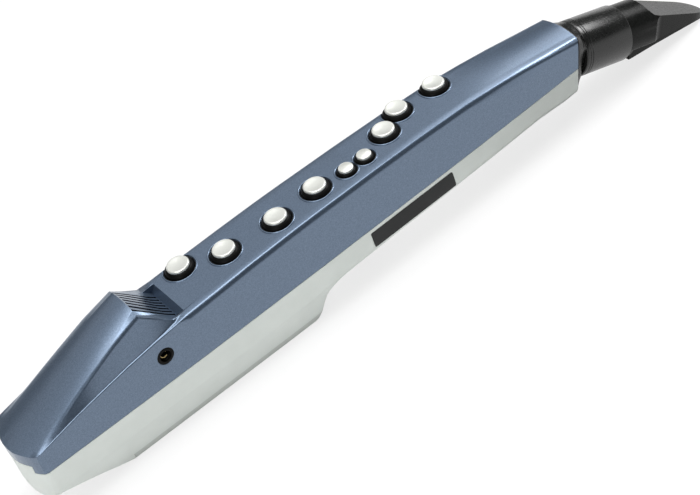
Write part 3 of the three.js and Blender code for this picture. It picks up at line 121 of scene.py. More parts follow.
sweep = bmesh.new()
bmesh.ops.create_grid(sweep, x_segments=1, y_segments=1, size=table_half)
table_mesh = bpy.data.meshes.new("table_top")
sweep.to_mesh(table_mesh)
sweep.free()
table_top = bpy.data.objects.new("table_top", table_mesh)
bpy.context.scene.collection.objects.link(table_top)

table_paint = bpy.data.materials.new("white_table")
table_paint.use_nodes = True
table_links = table_paint.node_tree.links
table_nodes = table_paint.node_tree.nodes
table_nodes.clear()
table_out = table_nodes.new("ShaderNodeOutputMaterial")
table_matt = table_nodes.new("ShaderNodeBsdfDiffuse")
table_matt.inputs["Color"].default_value = (table_white, table_white, table_white, 1)
table_glow = table_nodes.new("ShaderNodeEmission")
table_glow.inputs["Strength"].default_value = 1
table_seen = table_nodes.new("ShaderNodeMixShader")
table_seen.inputs["Fac"].default_value = table_glow_share
table_links.new(table_matt.outputs["BSDF"], table_seen.inputs[1])
table_links.new(table_glow.outputs["Emission"], table_seen.inputs[2])
table_place = table_nodes.new("ShaderNodeTexCoord")
table_axes = table_nodes.new("ShaderNodeSeparateXYZ")
table_links.new(table_place.outputs["Object"], table_axes.inputs["Vector"])
table_span = table_nodes.new("ShaderNodeMapRange")
table_span.inputs["From Min"].default_value = bounce_start
table_span.inputs["From Max"].default_value = bounce_end
table_links.new(table_axes.outputs["X"], table_span.inputs["Value"])
table_ramp = table_nodes.new("ShaderNodeValToRGB")
table_ramp.color_ramp.interpolation = "EASE"
for number, (x, share) in enumerate(bounce_stops):
    position = (x - bounce_start) / (bounce_end - bounce_start)
    if number < 2:
        stop = table_ramp.color_ramp.elements[number]
        stop.position = position
    else:
        stop = table_ramp.color_ramp.elements.new(position)
    stop.color = (share, share, share, 1)
table_links.new(table_span.outputs["Result"], table_ramp.inputs["Fac"])
table_bounce = table_nodes.new("ShaderNodeBsdfDiffuse")
table_links.new(table_ramp.outputs["Color"], table_bounce.inputs["Color"])
table_mix = table_nodes.new("ShaderNodeMixShader")
table_links.new(white_where_seen(table_nodes, table_links), table_mix.inputs["Fac"])
table_links.new(table_bounce.outputs["BSDF"], table_mix.inputs[1])
table_links.new(table_seen.outputs["Shader"], table_mix.inputs[2])
table_links.new(table_mix.outputs["Shader"], table_out.inputs["Surface"])
table_mesh.materials.append(table_paint)

backdrop = bmesh.new()
bmesh.ops.create_circle(backdrop, segments=wall_segments, radius=wall_radius)
lifted = bmesh.ops.extrude_edge_only(backdrop, edges=backdrop.edges[:])
lifted_points = [item for item in lifted["geom"] if isinstance(item, bmesh.types.BMVert)]
bmesh.ops.translate(backdrop, verts=lifted_points, vec=(0, 0, wall_height))
backdrop_mesh = bpy.data.meshes.new("studio_wall")
backdrop.to_mesh(backdrop_mesh)
backdrop.free()
studio_wall = bpy.data.objects.new("studio_wall", backdrop_mesh)
bpy.context.scene.collection.objects.link(studio_wall)
wall_paint = bpy.data.materials.new("white_studio_wall")
wall_paint.use_nodes = True
wall_links = wall_paint.node_tree.links
wall_nodes = wall_paint.node_tree.nodes
wall_nodes.clear()
wall_out = wall_nodes.new("ShaderNodeOutputMaterial")
wall_dim = wall_nodes.new("ShaderNodeBsdfDiffuse")
wall_dim.inputs["Color"].default_value = (wall_grey, wall_grey, wall_grey, 1)
wall_glow = wall_nodes.new("ShaderNodeEmission")
wall_glow.inputs["Strength"].default_value = 1
wall_mix = wall_nodes.new("ShaderNodeMixShader")
wall_links.new(white_where_seen(wall_nodes, wall_links), wall_mix.inputs["Fac"])
wall_links.new(wall_dim.outputs["BSDF"], wall_mix.inputs[1])
wall_links.new(wall_glow.outputs["Emission"], wall_mix.inputs[2])
wall_links.new(wall_mix.outputs["Shader"], wall_out.inputs["Surface"])
backdrop_mesh.materials.append(wall_paint)

room = bpy.data.worlds.new("studio")
bpy.context.scene.world = room
room.use_nodes = True
room.node_tree.nodes["Background"].inputs["Color"].default_value = room_tint
room.node_tree.nodes["Background"].inputs["Strength"].default_value = room_grey


def hang_lamp(name, place, target, width, height, power):
    lamp_data = bpy.data.lights.new(name, "AREA")
    lamp_data.shape = "RECTANGLE"
    lamp_data.size = width
    lamp_data.size_y = height
    lamp_data.energy = power
    lamp = bpy.data.objects.new(name, lamp_data)
    lamp.location = place
    lamp.rotation_euler = (Vector(target) - Vector(place)).to_track_quat("-Z", "Y").to_euler()
    bpy.context.scene.collection.objects.link(lamp)


def hang_sky(name, spread, tilt, level):
    sky_data = bpy.data.lights.new(name, "SUN")
    sky_data.energy = level
    sky_data.angle = spread
    sky = bpy.data.objects.new(name, sky_data)
    sky.rotation_euler = (tilt, 0, 0)
    bpy.context.scene.collection.objects.link(sky)


hang_sky("overhead", overhead_spread, 0, overhead_level)
hang_sky("behind", behind_spread, behind_tilt, behind_level)
hang_lamp("beside_mouthpiece", place=(0.90, 0.36, 0.96), target=(0.15, 0.0, 0.05),
          width=0.9, height=0.6, power=3.8)
hang_lamp("above_neck", place=(1.10, 0.05, 0.92), target=(0.15, 0.0, 0.04),
          width=0.55, height=0.5, power=10)
hang_lamp("before_foot", place=(-1.0, -0.75, 0.6), target=(0.0, 0.0, 0.02),
          width=0.7, height=0.7, power=4.5)

# Front cover
# The upper half of the housing: injection moulded ABS, sprayed in a fine metallic blue-grey under a
# thin clear coat. The speaker hood, its slots and the key wells are moulded in one piece.
cover_corner = math.radians(24)
# The walls' top edge: along, half across, up, and how deep its moulded radius reaches
crease_line = ((-0.1230, 0.01816, 0.06037, 0.0024), (-0.0846, 0.01764, 0.06217, 0.0024),
               (-0.0580, 0.01727, 0.06287, 0.0024), (-0.0409, 0.01703, 0.06299, 0.0024),
               (-0.0090, 0.01657, 0.06290, 0.0024), (0.0228, 0.01611, 0.06238, 0.0024),
               (0.0548, 0.01564, 0.06109, 0.0024), (0.0734, 0.01537, 0.05935, 0.0037),
               (0.0920, 0.01509, 0.05704, 0.0051), (0.1107, 0.01482, 0.05398, 0.0064),
               (0.1300, 0.01454, 0.05090, 0.0077))
# The key face's tilt beside that edge, in degrees, by the distance inwards
run_out = ((-0.0010, 10), (0.0014, 8.5), (0.0026, 6), (0.0038, 3), (0.0050, 0))
# The wall's tilt below that edge, in degrees, by the share of the depth
wall_turn = ((-0.4, 18), (0, 20), (0.10, 38), (0.44, 52), (1.0, 64), (1.6, 83))
slot_box = ((-0.1480, -0.0112, 0.0500), (-0.1240, 0.0112, 0.0800))
slot_wall_turn = 0.9
slot_ceiling_turn = 0.1
flat_enough = math.radians(0.15)
weld = 1e-6
hair = 1e-6
key_face_rise = 0.94
wall_face_turn = 0.9
end_wall_turn = 0.45
underside_turn = 0.2
row_overrun = 0.004
row_side_slack = 0.002
crease_zone = 0.001
key_face_slack = 0.0012
wall_slack = 0.0013
turn_reach_share = 1.3
own_turn_share = 0.3
flake_dark = (0.103, 0.146, 0.212, 1)
flake_light = (0.145, 0.198, 0.277, 1)
flake_size = 0.00034
orange_peel = 0.0016
pattern_low = 0.3
pattern_high = 0.7


def add_piece(name, shape, finish, body, corner=cover_corner):
    """A new piece from a mesh in work: smooth where it curves, crisp at its corners."""
    mesh = bpy.data.meshes.new(name)
    shape.to_mesh(mesh)
    shape.free()
    for polygon in mesh.polygons:
        polygon.use_smooth = True
    mesh.set_sharp_from_angle(angle=corner)
    mesh.materials.clear()
    mesh.materials.append(finish)
    piece = bpy.data.objects.new(name, mesh)
    bpy.context.scene.collection.objects.link(piece)
    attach(piece, body)
    return piece


def even_shade(piece):
    """Large faces keep their own direction, so that a flat wall stays flat up to its rounded edge."""
    shade = piece.modifiers.new("even_shade", "WEIGHTED_NORMAL")
    shade.mode = "FACE_AREA"
    shade.weight = 50
    shade.keep_sharp = True


def soft_edges(piece, width, segments=2, angle=cover_corner):
    """The small radius that every moulded or stamped edge has."""
    edge = piece.modifiers.new("soft_edges", "BEVEL")
    edge.width = width
    edge.segments = segments
    edge.limit_method = "ANGLE"
    edge.angle_limit = angle
    edge.use_clamp_overlap = True


def merged_copy(name):
    """The mesh of a made node with its loose triangles joined and its flat ones dissolved."""
    shape = bmesh.new()
    shape.from_mesh(frame["nodes"][name].data)
    bmesh.ops.remove_doubles(shape, verts=shape.verts, dist=weld)
    bmesh.ops.dissolve_limit(shape, angle_limit=flat_enough, verts=shape.verts, edges=shape.edges,
                             use_dissolve_boundaries=False)
    return shape


def dress(name, finish, corner=cover_corner, edge=0.0):
    """A piece with a made node's own shape, in its finish, that stands for the node."""
    piece = add_piece(name + "_skin", merged_copy(name), finish, frame["nodes"][name]["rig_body"], corner)
    if edge:
        soft_edges(piece, edge)
    even_shade(piece)
    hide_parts(name)
    return piece


def start_finish(name, roughness, metallic=0.0, specular=0.5):
    """A finish with its surface shader and the object's own coordinates for its patterns."""
    finish = bpy.data.materials.new(name)
    finish.use_nodes = True
    shader = finish.node_tree.nodes["Principled BSDF"]
    shader.inputs["Roughness"].default_value = roughness
    shader.inputs["Metallic"].default_value = metallic
    shader.inputs["Specular IOR Level"].default_value = specular
    place = finish.node_tree.nodes.new("ShaderNodeTexCoord")
    return finish, shader, place.outputs["Object"]


def cloud(finish, place, size, detail=2.0):
    """A soft random pattern whose blots are about as wide as size."""
    pattern = finish.node_tree.nodes.new("ShaderNodeTexNoise")
    pattern.inputs["Scale"].default_value = 1 / size
    pattern.inputs["Detail"].default_value = detail
    finish.node_tree.links.new(place, pattern.inputs["Vector"])
    return pattern.outputs["Fac"]


def tint(finish, shader, pattern, dark, light, low=0.35, high=0.65):
    """The base colour runs from dark to light as the pattern runs from low to high."""
    ramp = finish.node_tree.nodes.new("ShaderNodeValToRGB")
    ramp.color_ramp.elements[0].position = low
    ramp.color_ramp.elements[0].color = dark
    ramp.color_ramp.elements[1].position = high
    ramp.color_ramp.elements[1].color = light
    finish.node_tree.links.new(pattern, ramp.inputs["Fac"])
    finish.node_tree.links.new(ramp.outputs["Color"], shader.inputs["Base Color"])
    return ramp


def gloss(finish, shader, pattern, low, high):
    """The roughness runs from low to high with the pattern."""
    span = finish.node_tree.nodes.new("ShaderNodeMapRange")
    span.inputs["From Min"].default_value = pattern_low
    span.inputs["From Max"].default_value = pattern_high
    span.inputs["To Min"].default_value = low
    span.inputs["To Max"].default_value = high
    finish.node_tree.links.new(pattern, span.inputs["Value"])
    finish.node_tree.links.new(span.outputs["Result"], shader.inputs["Roughness"])


def relief(finish, shader, pattern, depth, strength=1.0):
    """A fine relief of that depth, in metres, under the light."""
    bump = finish.node_tree.nodes.new("ShaderNodeBump")
    bump.inputs["Strength"].default_value = strength
    bump.inputs["Distance"].default_value = depth
    finish.node_tree.links.new(pattern, bump.inputs["Height"])
    finish.node_tree.links.new(bump.outputs["Normal"], shader.inputs["Normal"])


blue_paint, blue_shader, blue_place = start_finish("metallic_blue_paint", roughness=0.28, metallic=0.8)
flakes = blue_paint.node_tree.nodes.new("ShaderNodeTexVoronoi")
flakes.inputs["Scale"].default_value = 1 / flake_size
flake_pick = blue_paint.node_tree.nodes.new("ShaderNodeSeparateColor")
blue_paint.node_tree.links.new(blue_place, flakes.inputs["Vector"])
blue_paint.node_tree.links.new(flakes.outputs["Color"], flake_pick.inputs["Color"])
tint(blue_paint, blue_shader, flake_pick.outputs["Red"], flake_dark, flake_light, low=0.0, high=1.0)
gloss(blue_paint, blue_shader, flake_pick.outputs["Green"], low=0.29, high=0.33)
relief(blue_paint, blue_shader, cloud(blue_paint, blue_place, orange_peel), depth=0.000008, strength=0.5)
blue_shader.inputs["Coat Weight"].default_value = 0.5
blue_shader.inputs["Coat Roughness"].default_value = 0.2
blue_shader.inputs["Coat IOR"].default_value = 1.5


def between(table, value):
    """Reads a table of pairs or triples at a value of its first column."""
    for low, high in zip(table, table[1:]):
        if low[0] <= value <= high[0]:
            share = (value - low[0]) / (high[0] - low[0])
            return [a + (b - a) * share for a, b in zip(low[1:], high[1:])]
    return None


def rows_beside_crease(shape):
    """Extra rows of points along the walls' top edge, where its radius runs out into flat faces."""
    for low, high in zip(crease_line, crease_line[1:]):
        for side in (-1, 1):
            start = Vector((low[0], side * low[1], low[2]))
            run = Vector((high[0], side * high[1], high[2])) - start
            inward = Vector((run.y, -run.x, 0)).normalized() * side
            down = Vector((run.z, 0, -run.x)).normalized()
            rows = [(start + inward * row[0], inward) for row in run_out[2:]]
            rows.append((start + down * low[3] * wall_turn[-1][0], down))
            for spot, direction in rows:
                flat = direction.z == 0
                near = []
                for face in shape.faces:
                    middle = face.calc_center_median()
                    level = face.normal.z > key_face_rise if flat else side * face.normal.y > wall_face_turn
                    beside = low[0] - row_overrun < middle.x < high[0] + row_overrun
                    if level and beside and middle.y * side > -row_side_slack:
                        near.append(face)
                parts = set(near)
                for face in near:
                    parts.update(face.verts)
                    parts.update(face.edges)
                bmesh.ops.bisect_plane(shape, geom=list(parts), dist=weld, plane_co=spot, plane_no=direction)


def soften_crease(piece):
    """The moulded radius along the walls' top edge turns evenly and runs out into the key face."""
    drawn = piece.evaluated_get(bpy.context.evaluated_depsgraph_get())
    mesh = bpy.data.meshes.new_from_object(drawn)
    normals = [corner.vector.copy() for corner in mesh.corner_normals]
    shallow = crease_line[0][3]
    deep = crease_line[-2][3]
    for loop in mesh.loops:
        vertex = mesh.vertices[loop.vertex_index]
        crease = between(crease_line, vertex.co.x)
        plain = normals[loop.index]
        if crease is None or plain.z < -underside_turn or plain.y * vertex.co.y < -hair:
            continue
        half, top, depth = crease
        inward = half - abs(vertex.co.y)
        below = top - vertex.co.z
        turned = None
        on_wall = -wall_slack < inward < crease_zone and abs(plain.x) < end_wall_turn
        if inward > crease_zone and abs(below) < key_face_slack and plain.z > key_face_rise:
            turned = between(run_out, inward)
        elif on_wall and below < depth * turn_reach_share:
            turned = between(wall_turn, below / depth)
            own = math.degrees(math.atan2(abs(plain.y), plain.z))
            if turned and below > depth * own_turn_share:
                share = min(1, (depth - shallow) / (deep - shallow))
                turned = [turned[0] + (own - turned[0]) * share]
        if turned is None:
            continue
        angle = math.radians(turned[0])
        across = math.sqrt(1 - plain.x ** 2)
        side = math.copysign(1, vertex.co.y)
        normals[loop.index] = Vector((plain.x, side * across * math.sin(angle), across * math.cos(angle)))
    mesh.normals_split_custom_set(normals)
    piece.modifiers.clear()
    piece.data = mesh


front_shape = merged_copy("front_cover")
rows_beside_crease(front_shape)
front_cover = add_piece("front_cover_skin", front_shape, blue_paint, "housing")
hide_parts("front_cover")
even_shade(front_cover)
soften_crease(front_cover)
# The slots' inner walls and ceilings get a near-black finish: painted shade inside the slots.
slot_shade_paint, slot_shade_shader, slot_shade_place = start_finish("slot_painted_shade", roughness=0.7, specular=0.15)
slot_shade_blots = cloud(slot_shade_paint, slot_shade_place, size=0.0004)
tint(slot_shade_paint, slot_shade_shader, slot_shade_blots, (0.008, 0.010, 0.014, 1), (0.014, 0.017, 0.024, 1))
front_cover.data.materials.append(slot_shade_paint)
for polygon in front_cover.data.polygons:
    inside = all(low < c < high for low, c, high in zip(slot_box[0], polygon.center, slot_box[1]))
    if inside and (abs(polygon.normal.y) > slot_wall_turn or polygon.normal.z < -slot_ceiling_turn):
        polygon.material_index = 1

# Rear cover
# The lower half, moulded in light grey ABS and left unpainted with a fine spark-eroded texture. A
# tongue along its rim fits inside the front cover and closes the parting line against light.
rim_reach = 0.0006
tongue_inset = 0.00045
tongue_height = 0.00026
grey_dark = (0.80, 0.85, 0.81, 1)
grey_light = (0.84, 0.89, 0.85, 1)
texture_size = 0.00045
texture_depth = 0.000012
texture_detail = 3.0
gloss_swing = 0.05
drift_size = 0.012
drift_detail = 4.0
ray_lift = 1e-5
rim_rise = 0.9


def moulded(name, dark, light, roughness, grain=texture_size, depth=texture_depth, specular=0.5):
    """Moulded plastic: a faint drift in its colour, and a fine grain in its gloss and relief."""
    finish, shader, place = start_finish(name, roughness, specular=specular)
    fine = cloud(finish, place, grain, texture_detail)
    tint(finish, shader, cloud(finish, place, drift_size, drift_detail), dark, light)
    gloss(finish, shader, fine, roughness - gloss_swing, roughness + gloss_swing)
    relief(finish, shader, fine, depth)
    return finish


grey_plastic = moulded("light_grey_plastic", grey_dark, grey_light, roughness=0.48)
rear_cover = dress("rear_cover", grey_plastic)

upper_half = merged_copy("front_cover")
above = BVHTree.FromBMesh(upper_half)
upper_half.free()
tongue = merged_copy("rear_cover")
off_rim = []
for face in tongue.faces:
    start = face.calc_center_median() + face.normal * ray_lift
    meets = above.ray_cast(start, Vector((0, 0, 1)), rim_reach)[0]
    if face.normal.z < rim_rise or meets is None:
        off_rim.append(face)
bmesh.ops.delete(tongue, geom=off_rim, context="FACES")
inset = bmesh.ops.inset_region(tongue, faces=tongue.faces, thickness=tongue_inset, use_boundary=True,
                               use_even_offset=True)
bmesh.ops.delete(tongue, geom=inset["faces"], context="FACES")
raised = bmesh.ops.extrude_face_region(tongue, geom=tongue.faces[:])
raised_points = [item for item in raised["geom"] if isinstance(item, bmesh.types.BMVert)]
bmesh.ops.translate(tongue, verts=raised_points, vec=(0, 0, tongue_height))
bmesh.ops.recalc_face_normals(tongue, faces=tongue.faces)
# The tongue is coloured near-black grey, unlike the rear cover it belongs to: painted shade in the seam.
seam_painted_shade = moulded("seam_shadow_plastic", (0.10, 0.11, 0.12, 1), (0.13, 0.14, 0.15, 1), roughness=0.6)
add_piece("seam_tongue", tongue, seam_painted_shade, "housing")

# Battery cover
# The belly's floor is a separate snap-in cover with low side flanges, moulded in the same grey plastic as
# the rear cover.
# Its colour is set darker than the rear cover's: painted shade for a floor that faces down.
battery_cover_painted_shade = moulded("battery_cover_grey_painted_shade", (0.66, 0.705, 0.67, 1), (0.70, 0.745, 0.71, 1), roughness=0.5)
battery_cover = dress("battery_cover", battery_cover_painted_shade)

# Screws
# Six cross-head steel screws with low domed heads close the housing from below. Each lies in a round
# recess of the rear cover.
cross_arm = 0.00145
cross_half = 0.00034
cross_top = 0.0011
cross_depth = 0.0008
cross_floor_share = 0.6
head_steps = 32
screw_turn = math.radians(37)
recess_area = 0.0000272
recess_area_slack = 0.000002
recess_side = 0.0092
recess_side_slack = 0.0004
recess_floor_turn = 0.9
head_profile = ((0.0026, 0.00005), (0.0026, 0.0006), (0.00245, 0.00085), (0.0019, 0.00105))

steel, steel_shader, steel_place = start_finish("pressed_steel", roughness=0.35, metallic=1.0)
steel_scratch = cloud(steel, steel_place, size=0.0006, detail=4.0)
tint(steel, steel_shader, steel_scratch, (0.50, 0.50, 0.50, 1), (0.60, 0.60, 0.59, 1))
gloss(steel, steel_shader, steel_scratch, low=0.25, high=0.42)
relief(steel, steel_shader, steel_scratch, depth=0.000004)

lower_half = merged_copy("rear_cover")
recess_floors = []
for face in lower_half.faces:
    middle = face.calc_center_median()
    right_place = abs(abs(middle.y) - recess_side) < recess_side_slack
    right_area = abs(face.calc_area() - recess_area) < recess_area_slack
    if face.normal.z < -recess_floor_turn and right_area and right_place:
        recess_floors.append((middle.copy(), face.normal.copy()))
lower_half.free()
for number, (middle, outward) in enumerate(recess_floors):
    head = bmesh.new()
    rings = []
    for radius, height in head_profile:
        ring = bmesh.ops.create_circle(head, cap_ends=False, segments=head_steps, radius=radius)["verts"]
        bmesh.ops.translate(head, verts=ring, vec=(0, 0, height))
        rings.append(ring)
    cross = [(cross_arm, -cross_half), (cross_arm, cross_half), (cross_half, cross_half),
             (cross_half, cross_arm), (-cross_half, cross_arm), (-cross_half, cross_half),
             (-cross_arm, cross_half), (-cross_arm, -cross_half), (-cross_half, -cross_half),
             (-cross_half, -cross_arm), (cross_half, -cross_arm), (cross_half, -cross_half)]
    for height, share in ((cross_top, 1), (cross_top - cross_depth, cross_floor_share)):
        rings.append([head.verts.new((x * share, y * share, height)) for x, y in cross])
        for pair in zip(rings[-1], rings[-1][1:] + rings[-1][:1]):
            head.edges.new(pair)
    for outer, inner in zip(rings, rings[1:]):
        edges = {edge for vert in outer + inner for edge in vert.link_edges
                 if edge.is_wire or len(edge.link_faces) < 2}
        between_rings = [edge for edge in edges if all(v in outer for v in edge.verts)
                         or all(v in inner for v in edge.verts)]
        bmesh.ops.bridge_loops(head, edges=between_rings)
    head.faces.new(rings[-1])
    bmesh.ops.recalc_face_normals(head, faces=head.faces)
    stand = Matrix.Translation(middle) @ outward.to_track_quat("Z", "Y").to_matrix().to_4x4()
    twist = Matrix.Rotation(screw_turn * number, 4, "Z")
    bmesh.ops.transform(head, matrix=stand @ twist, verts=head.verts)
    add_piece("screw_" + str(number + 1), head, steel, "housing")

# Rating plate
# A bare black foil plate with rounded corners, stuck on the grey wall just below the parting line. It
# follows the wall and carries no text.
plate_start = Vector((-0.0205, 0, 0.0318))
plate_end = Vector((0.0342, 0, 0.0323))
plate_height = 0.009
plate_thickness = 0.00015
plate_corner = 0.0008
plate_steps = 24
plate_rows = 4
plate_gap = 0.00002
plate_ray_start = -0.05
wall_side = -0.018

plate_right = (plate_end - plate_start).normalized()
plate_up = Vector((-plate_right.z, 0, plate_right.x))
plate_length = (plate_end - plate_start).length
lower_half = merged_copy("rear_cover")
wall_tree = BVHTree.FromBMesh(lower_half)
lower_half.free()
plate_shape = bmesh.new()
bmesh.ops.create_grid(plate_shape, x_segments=plate_steps, y_segments=plate_rows, size=0.5)
for vert in plate_shape.verts:
    across = plate_start + plate_right * (vert.co.x + 0.5) * plate_length
    spot = across - plate_up * (0.5 - vert.co.y) * plate_height
    hit = wall_tree.ray_cast(Vector((spot.x, plate_ray_start, spot.z)), Vector((0, 1, 0)))[0]
    vert.co = (spot.x, (hit.y if hit else wall_side) - plate_gap, spot.z)
bmesh.ops.recalc_face_normals(plate_shape, faces=plate_shape.faces)
plate_shape.faces.ensure_lookup_table()
if plate_shape.faces[0].normal.y > 0:
    bmesh.ops.reverse_faces(plate_shape, faces=plate_shape.faces)
corners = [vert for vert in plate_shape.verts if len(vert.link_faces) == 1]
bmesh.ops.bevel(plate_shape, geom=corners, offset=plate_corner, segments=4, profile=0.5, affect="VERTICES")
bmesh.ops.solidify(plate_shape, geom=plate_shape.faces[:], thickness=-plate_thickness)
bmesh.ops.recalc_face_normals(plate_shape, faces=plate_shape.faces)
foil_black = moulded("plate_foil", (0.010, 0.011, 0.011, 1), (0.016, 0.017, 0.017, 1), roughness=0.42,
                     grain=0.0009, depth=0.000004, specular=0.3)
add_piece("rating_plate", plate_shape, foil_black, "housing")

# Finger keys and side keys
# Each key is a turned silver-painted cap, dished on the seven finger keys and domed on the two smaller
# side keys, on a flared black base with a stem and a washer. It slides in a black sleeve that lines
# the round well, inside a thin painted rim.
key_steps = 56
big_cap = {"radius": 0.00595, "top": 0.0033, "middle": 0.0028, "well": 0.0084, "dish": -0.00055}
small_cap = {"radius": 0.0039, "top": 0.0026, "middle": 0.00235, "well": 0.00575, "dish": 0.0005}
cap_skirt = 0.00125
cap_round_share = 0.14
cap_round_start = 84
cap_round_steps = 5
dish_rings = 6
dish_power = 1.3
skirt_lip = 0.0001
skirt_inner_share = 0.93
base_gap = 0.00065
base_drop = 0.0006
base_top_share = 0.985
base_top_lift = 0.0002
base_top_round = 0.0003
base_top_step = 0.0001
flare_steps = 6
flare_bulge = 0.00022
stem_radius = 0.0022
washer_radius = 0.00340
washer_top = 0.00510
washer_thickness = 0.00080
sleeve_gap = 0.00008
sleeve_wall = 0.00022
sleeve_depth = 0.0034
sleeve_top = -0.0001
sleeve_lip = 0.0002
rim_middle = 0.00052
rim_half_width = 0.00046
rim_height = 0.0004
rim_foot = -0.0006
rim_turn = 20
key_gap = 0.0003
cut_slack = 0.0002
fine_weld = 1e-7

key_axes = {joint["child"]: Vector(joint["axis"]) for joint in frame["joints"]}
key_names = [name for name in key_axes if name.startswith(("finger_key", "side_key"))]


def turn_shape(profile, steps=key_steps, closed=False):
    """A shape turned about its own Z axis from pairs of radius and height."""
    shape = bmesh.new()
    points = [shape.verts.new((radius, 0, height)) for radius, height in profile]
    lines = [shape.edges.new(pair) for pair in zip(points, points[1:])]
    if closed:
        lines.append(shape.edges.new((points[-1], points[0])))
    bmesh.ops.spin(shape, geom=points + lines, cent=(0, 0, 0), axis=(0, 0, 1), dvec=(0, 0, 0),
                   angle=2 * math.pi, steps=steps, use_merge=True, use_duplicate=False)
    bmesh.ops.remove_doubles(shape, verts=shape.verts, dist=fine_weld)
    bmesh.ops.recalc_face_normals(shape, faces=shape.faces)
    return shape


def arc(centre, radius, start, end, steps):
    """Points of a round edge in a turned profile, between two angles in degrees."""
    angles = [math.radians(start + (end - start) * i / steps) for i in range(steps + 1)]
    return [(centre[0] + radius * math.cos(a), centre[1] + radius * math.sin(a)) for a in angles]


def key_place(name, kind):
    """Where a key stands: origin on the key face, Z out of it."""
    low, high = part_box(name)
    inward = key_axes[name].normalized()
    origin = (low + high) / 2 + inward * kind["middle"]
    return Matrix.Translation(origin) @ Matrix.Rotation(math.atan2(-inward.x, -inward.z), 4, "Y")


def cap_profile(kind):
    """A dished or domed top, a wide round shoulder and a short skirt."""
    shoulder = kind["radius"] * cap_round_share
    flat = kind["radius"] - shoulder
    top = kind["top"]
    points = []
    for i in range(dish_rings + 1):
        share = i / dish_rings
        height = top + kind["dish"] * (1 - share ** 2) ** dish_power
        points.append((flat * share, height))
    points += arc((flat, top - shoulder), shoulder, cap_round_start, 0, cap_round_steps)
    points.append((kind["radius"], top - cap_skirt))
    points.append((kind["radius"] * skirt_inner_share, top - cap_skirt - skirt_lip))
    points.append((0, top - cap_skirt - skirt_lip))
    return points


def base_profile(kind, stem_end):
    """A tapered black body that flares from under the cap, on a stem with a washer."""
    outer = kind["well"] - base_gap
    inner = kind["radius"] * base_top_share
    top = kind["top"] - cap_skirt + base_top_lift
    points = [(0, top), (inner - base_top_round, top), (inner, top - base_top_step)]
    for i in range(1, flare_steps):
        share = i / flare_steps
        bulge = flare_bulge * math.sin(math.pi * share)
        points.append((inner + (outer - inner) * share + bulge, (top - base_top_step) * (1 - share) + bulge))
    points += [(outer, 0.0), (outer, -base_drop), (stem_radius, -base_drop), (stem_radius, -washer_top)]
    points += [(washer_radius, -washer_top), (washer_radius, -washer_top - washer_thickness)]
    points += [(stem_radius, -washer_top - washer_thickness), (stem_radius, stem_end), (0, stem_end)]
    return points


def cut_away(shape, spot, direction):
    """Removes what lies beyond a plane and closes the cut."""
    parts = shape.verts[:] + shape.edges[:] + shape.faces[:]
    cut = bmesh.ops.bisect_plane(shape, geom=parts, dist=fine_weld, plane_co=spot, plane_no=direction,
                                 clear_outer=True, clear_inner=False)
    rim = [item for item in cut["geom_cut"] if isinstance(item, bmesh.types.BMEdge)]
    if rim:
        bmesh.ops.holes_fill(shape, edges=rim, sides=0)
        bmesh.ops.recalc_face_normals(shape, faces=shape.faces)


key_kinds = {name: big_cap if name.startswith("finger_key") else small_cap for name in key_names}
key_places = {name: key_place(name, key_kinds[name]) for name in key_names}

silver_paint, silver_shader, silver_place = start_finish("satin_silver_paint", roughness=0.3, metallic=0.5)
silver_grain = cloud(silver_paint, silver_place, size=0.00035)
tint(silver_paint, silver_shader, silver_grain, (0.665, 0.675, 0.635, 1), (0.70, 0.71, 0.67, 1))
gloss(silver_paint, silver_shader, silver_grain, low=0.29, high=0.34)
relief(silver_paint, silver_shader, silver_grain, depth=0.000001)
key_black = moulded("key_black_plastic", (0.003, 0.003, 0.003, 1), (0.005, 0.005, 0.0045, 1), roughness=0.42,
                    grain=0.0008, depth=0.000003, specular=0.08)
sleeve_black = moulded("sleeve_black_plastic", (0.010, 0.010, 0.010, 1), (0.014, 0.014, 0.014, 1),
                       roughness=0.55)

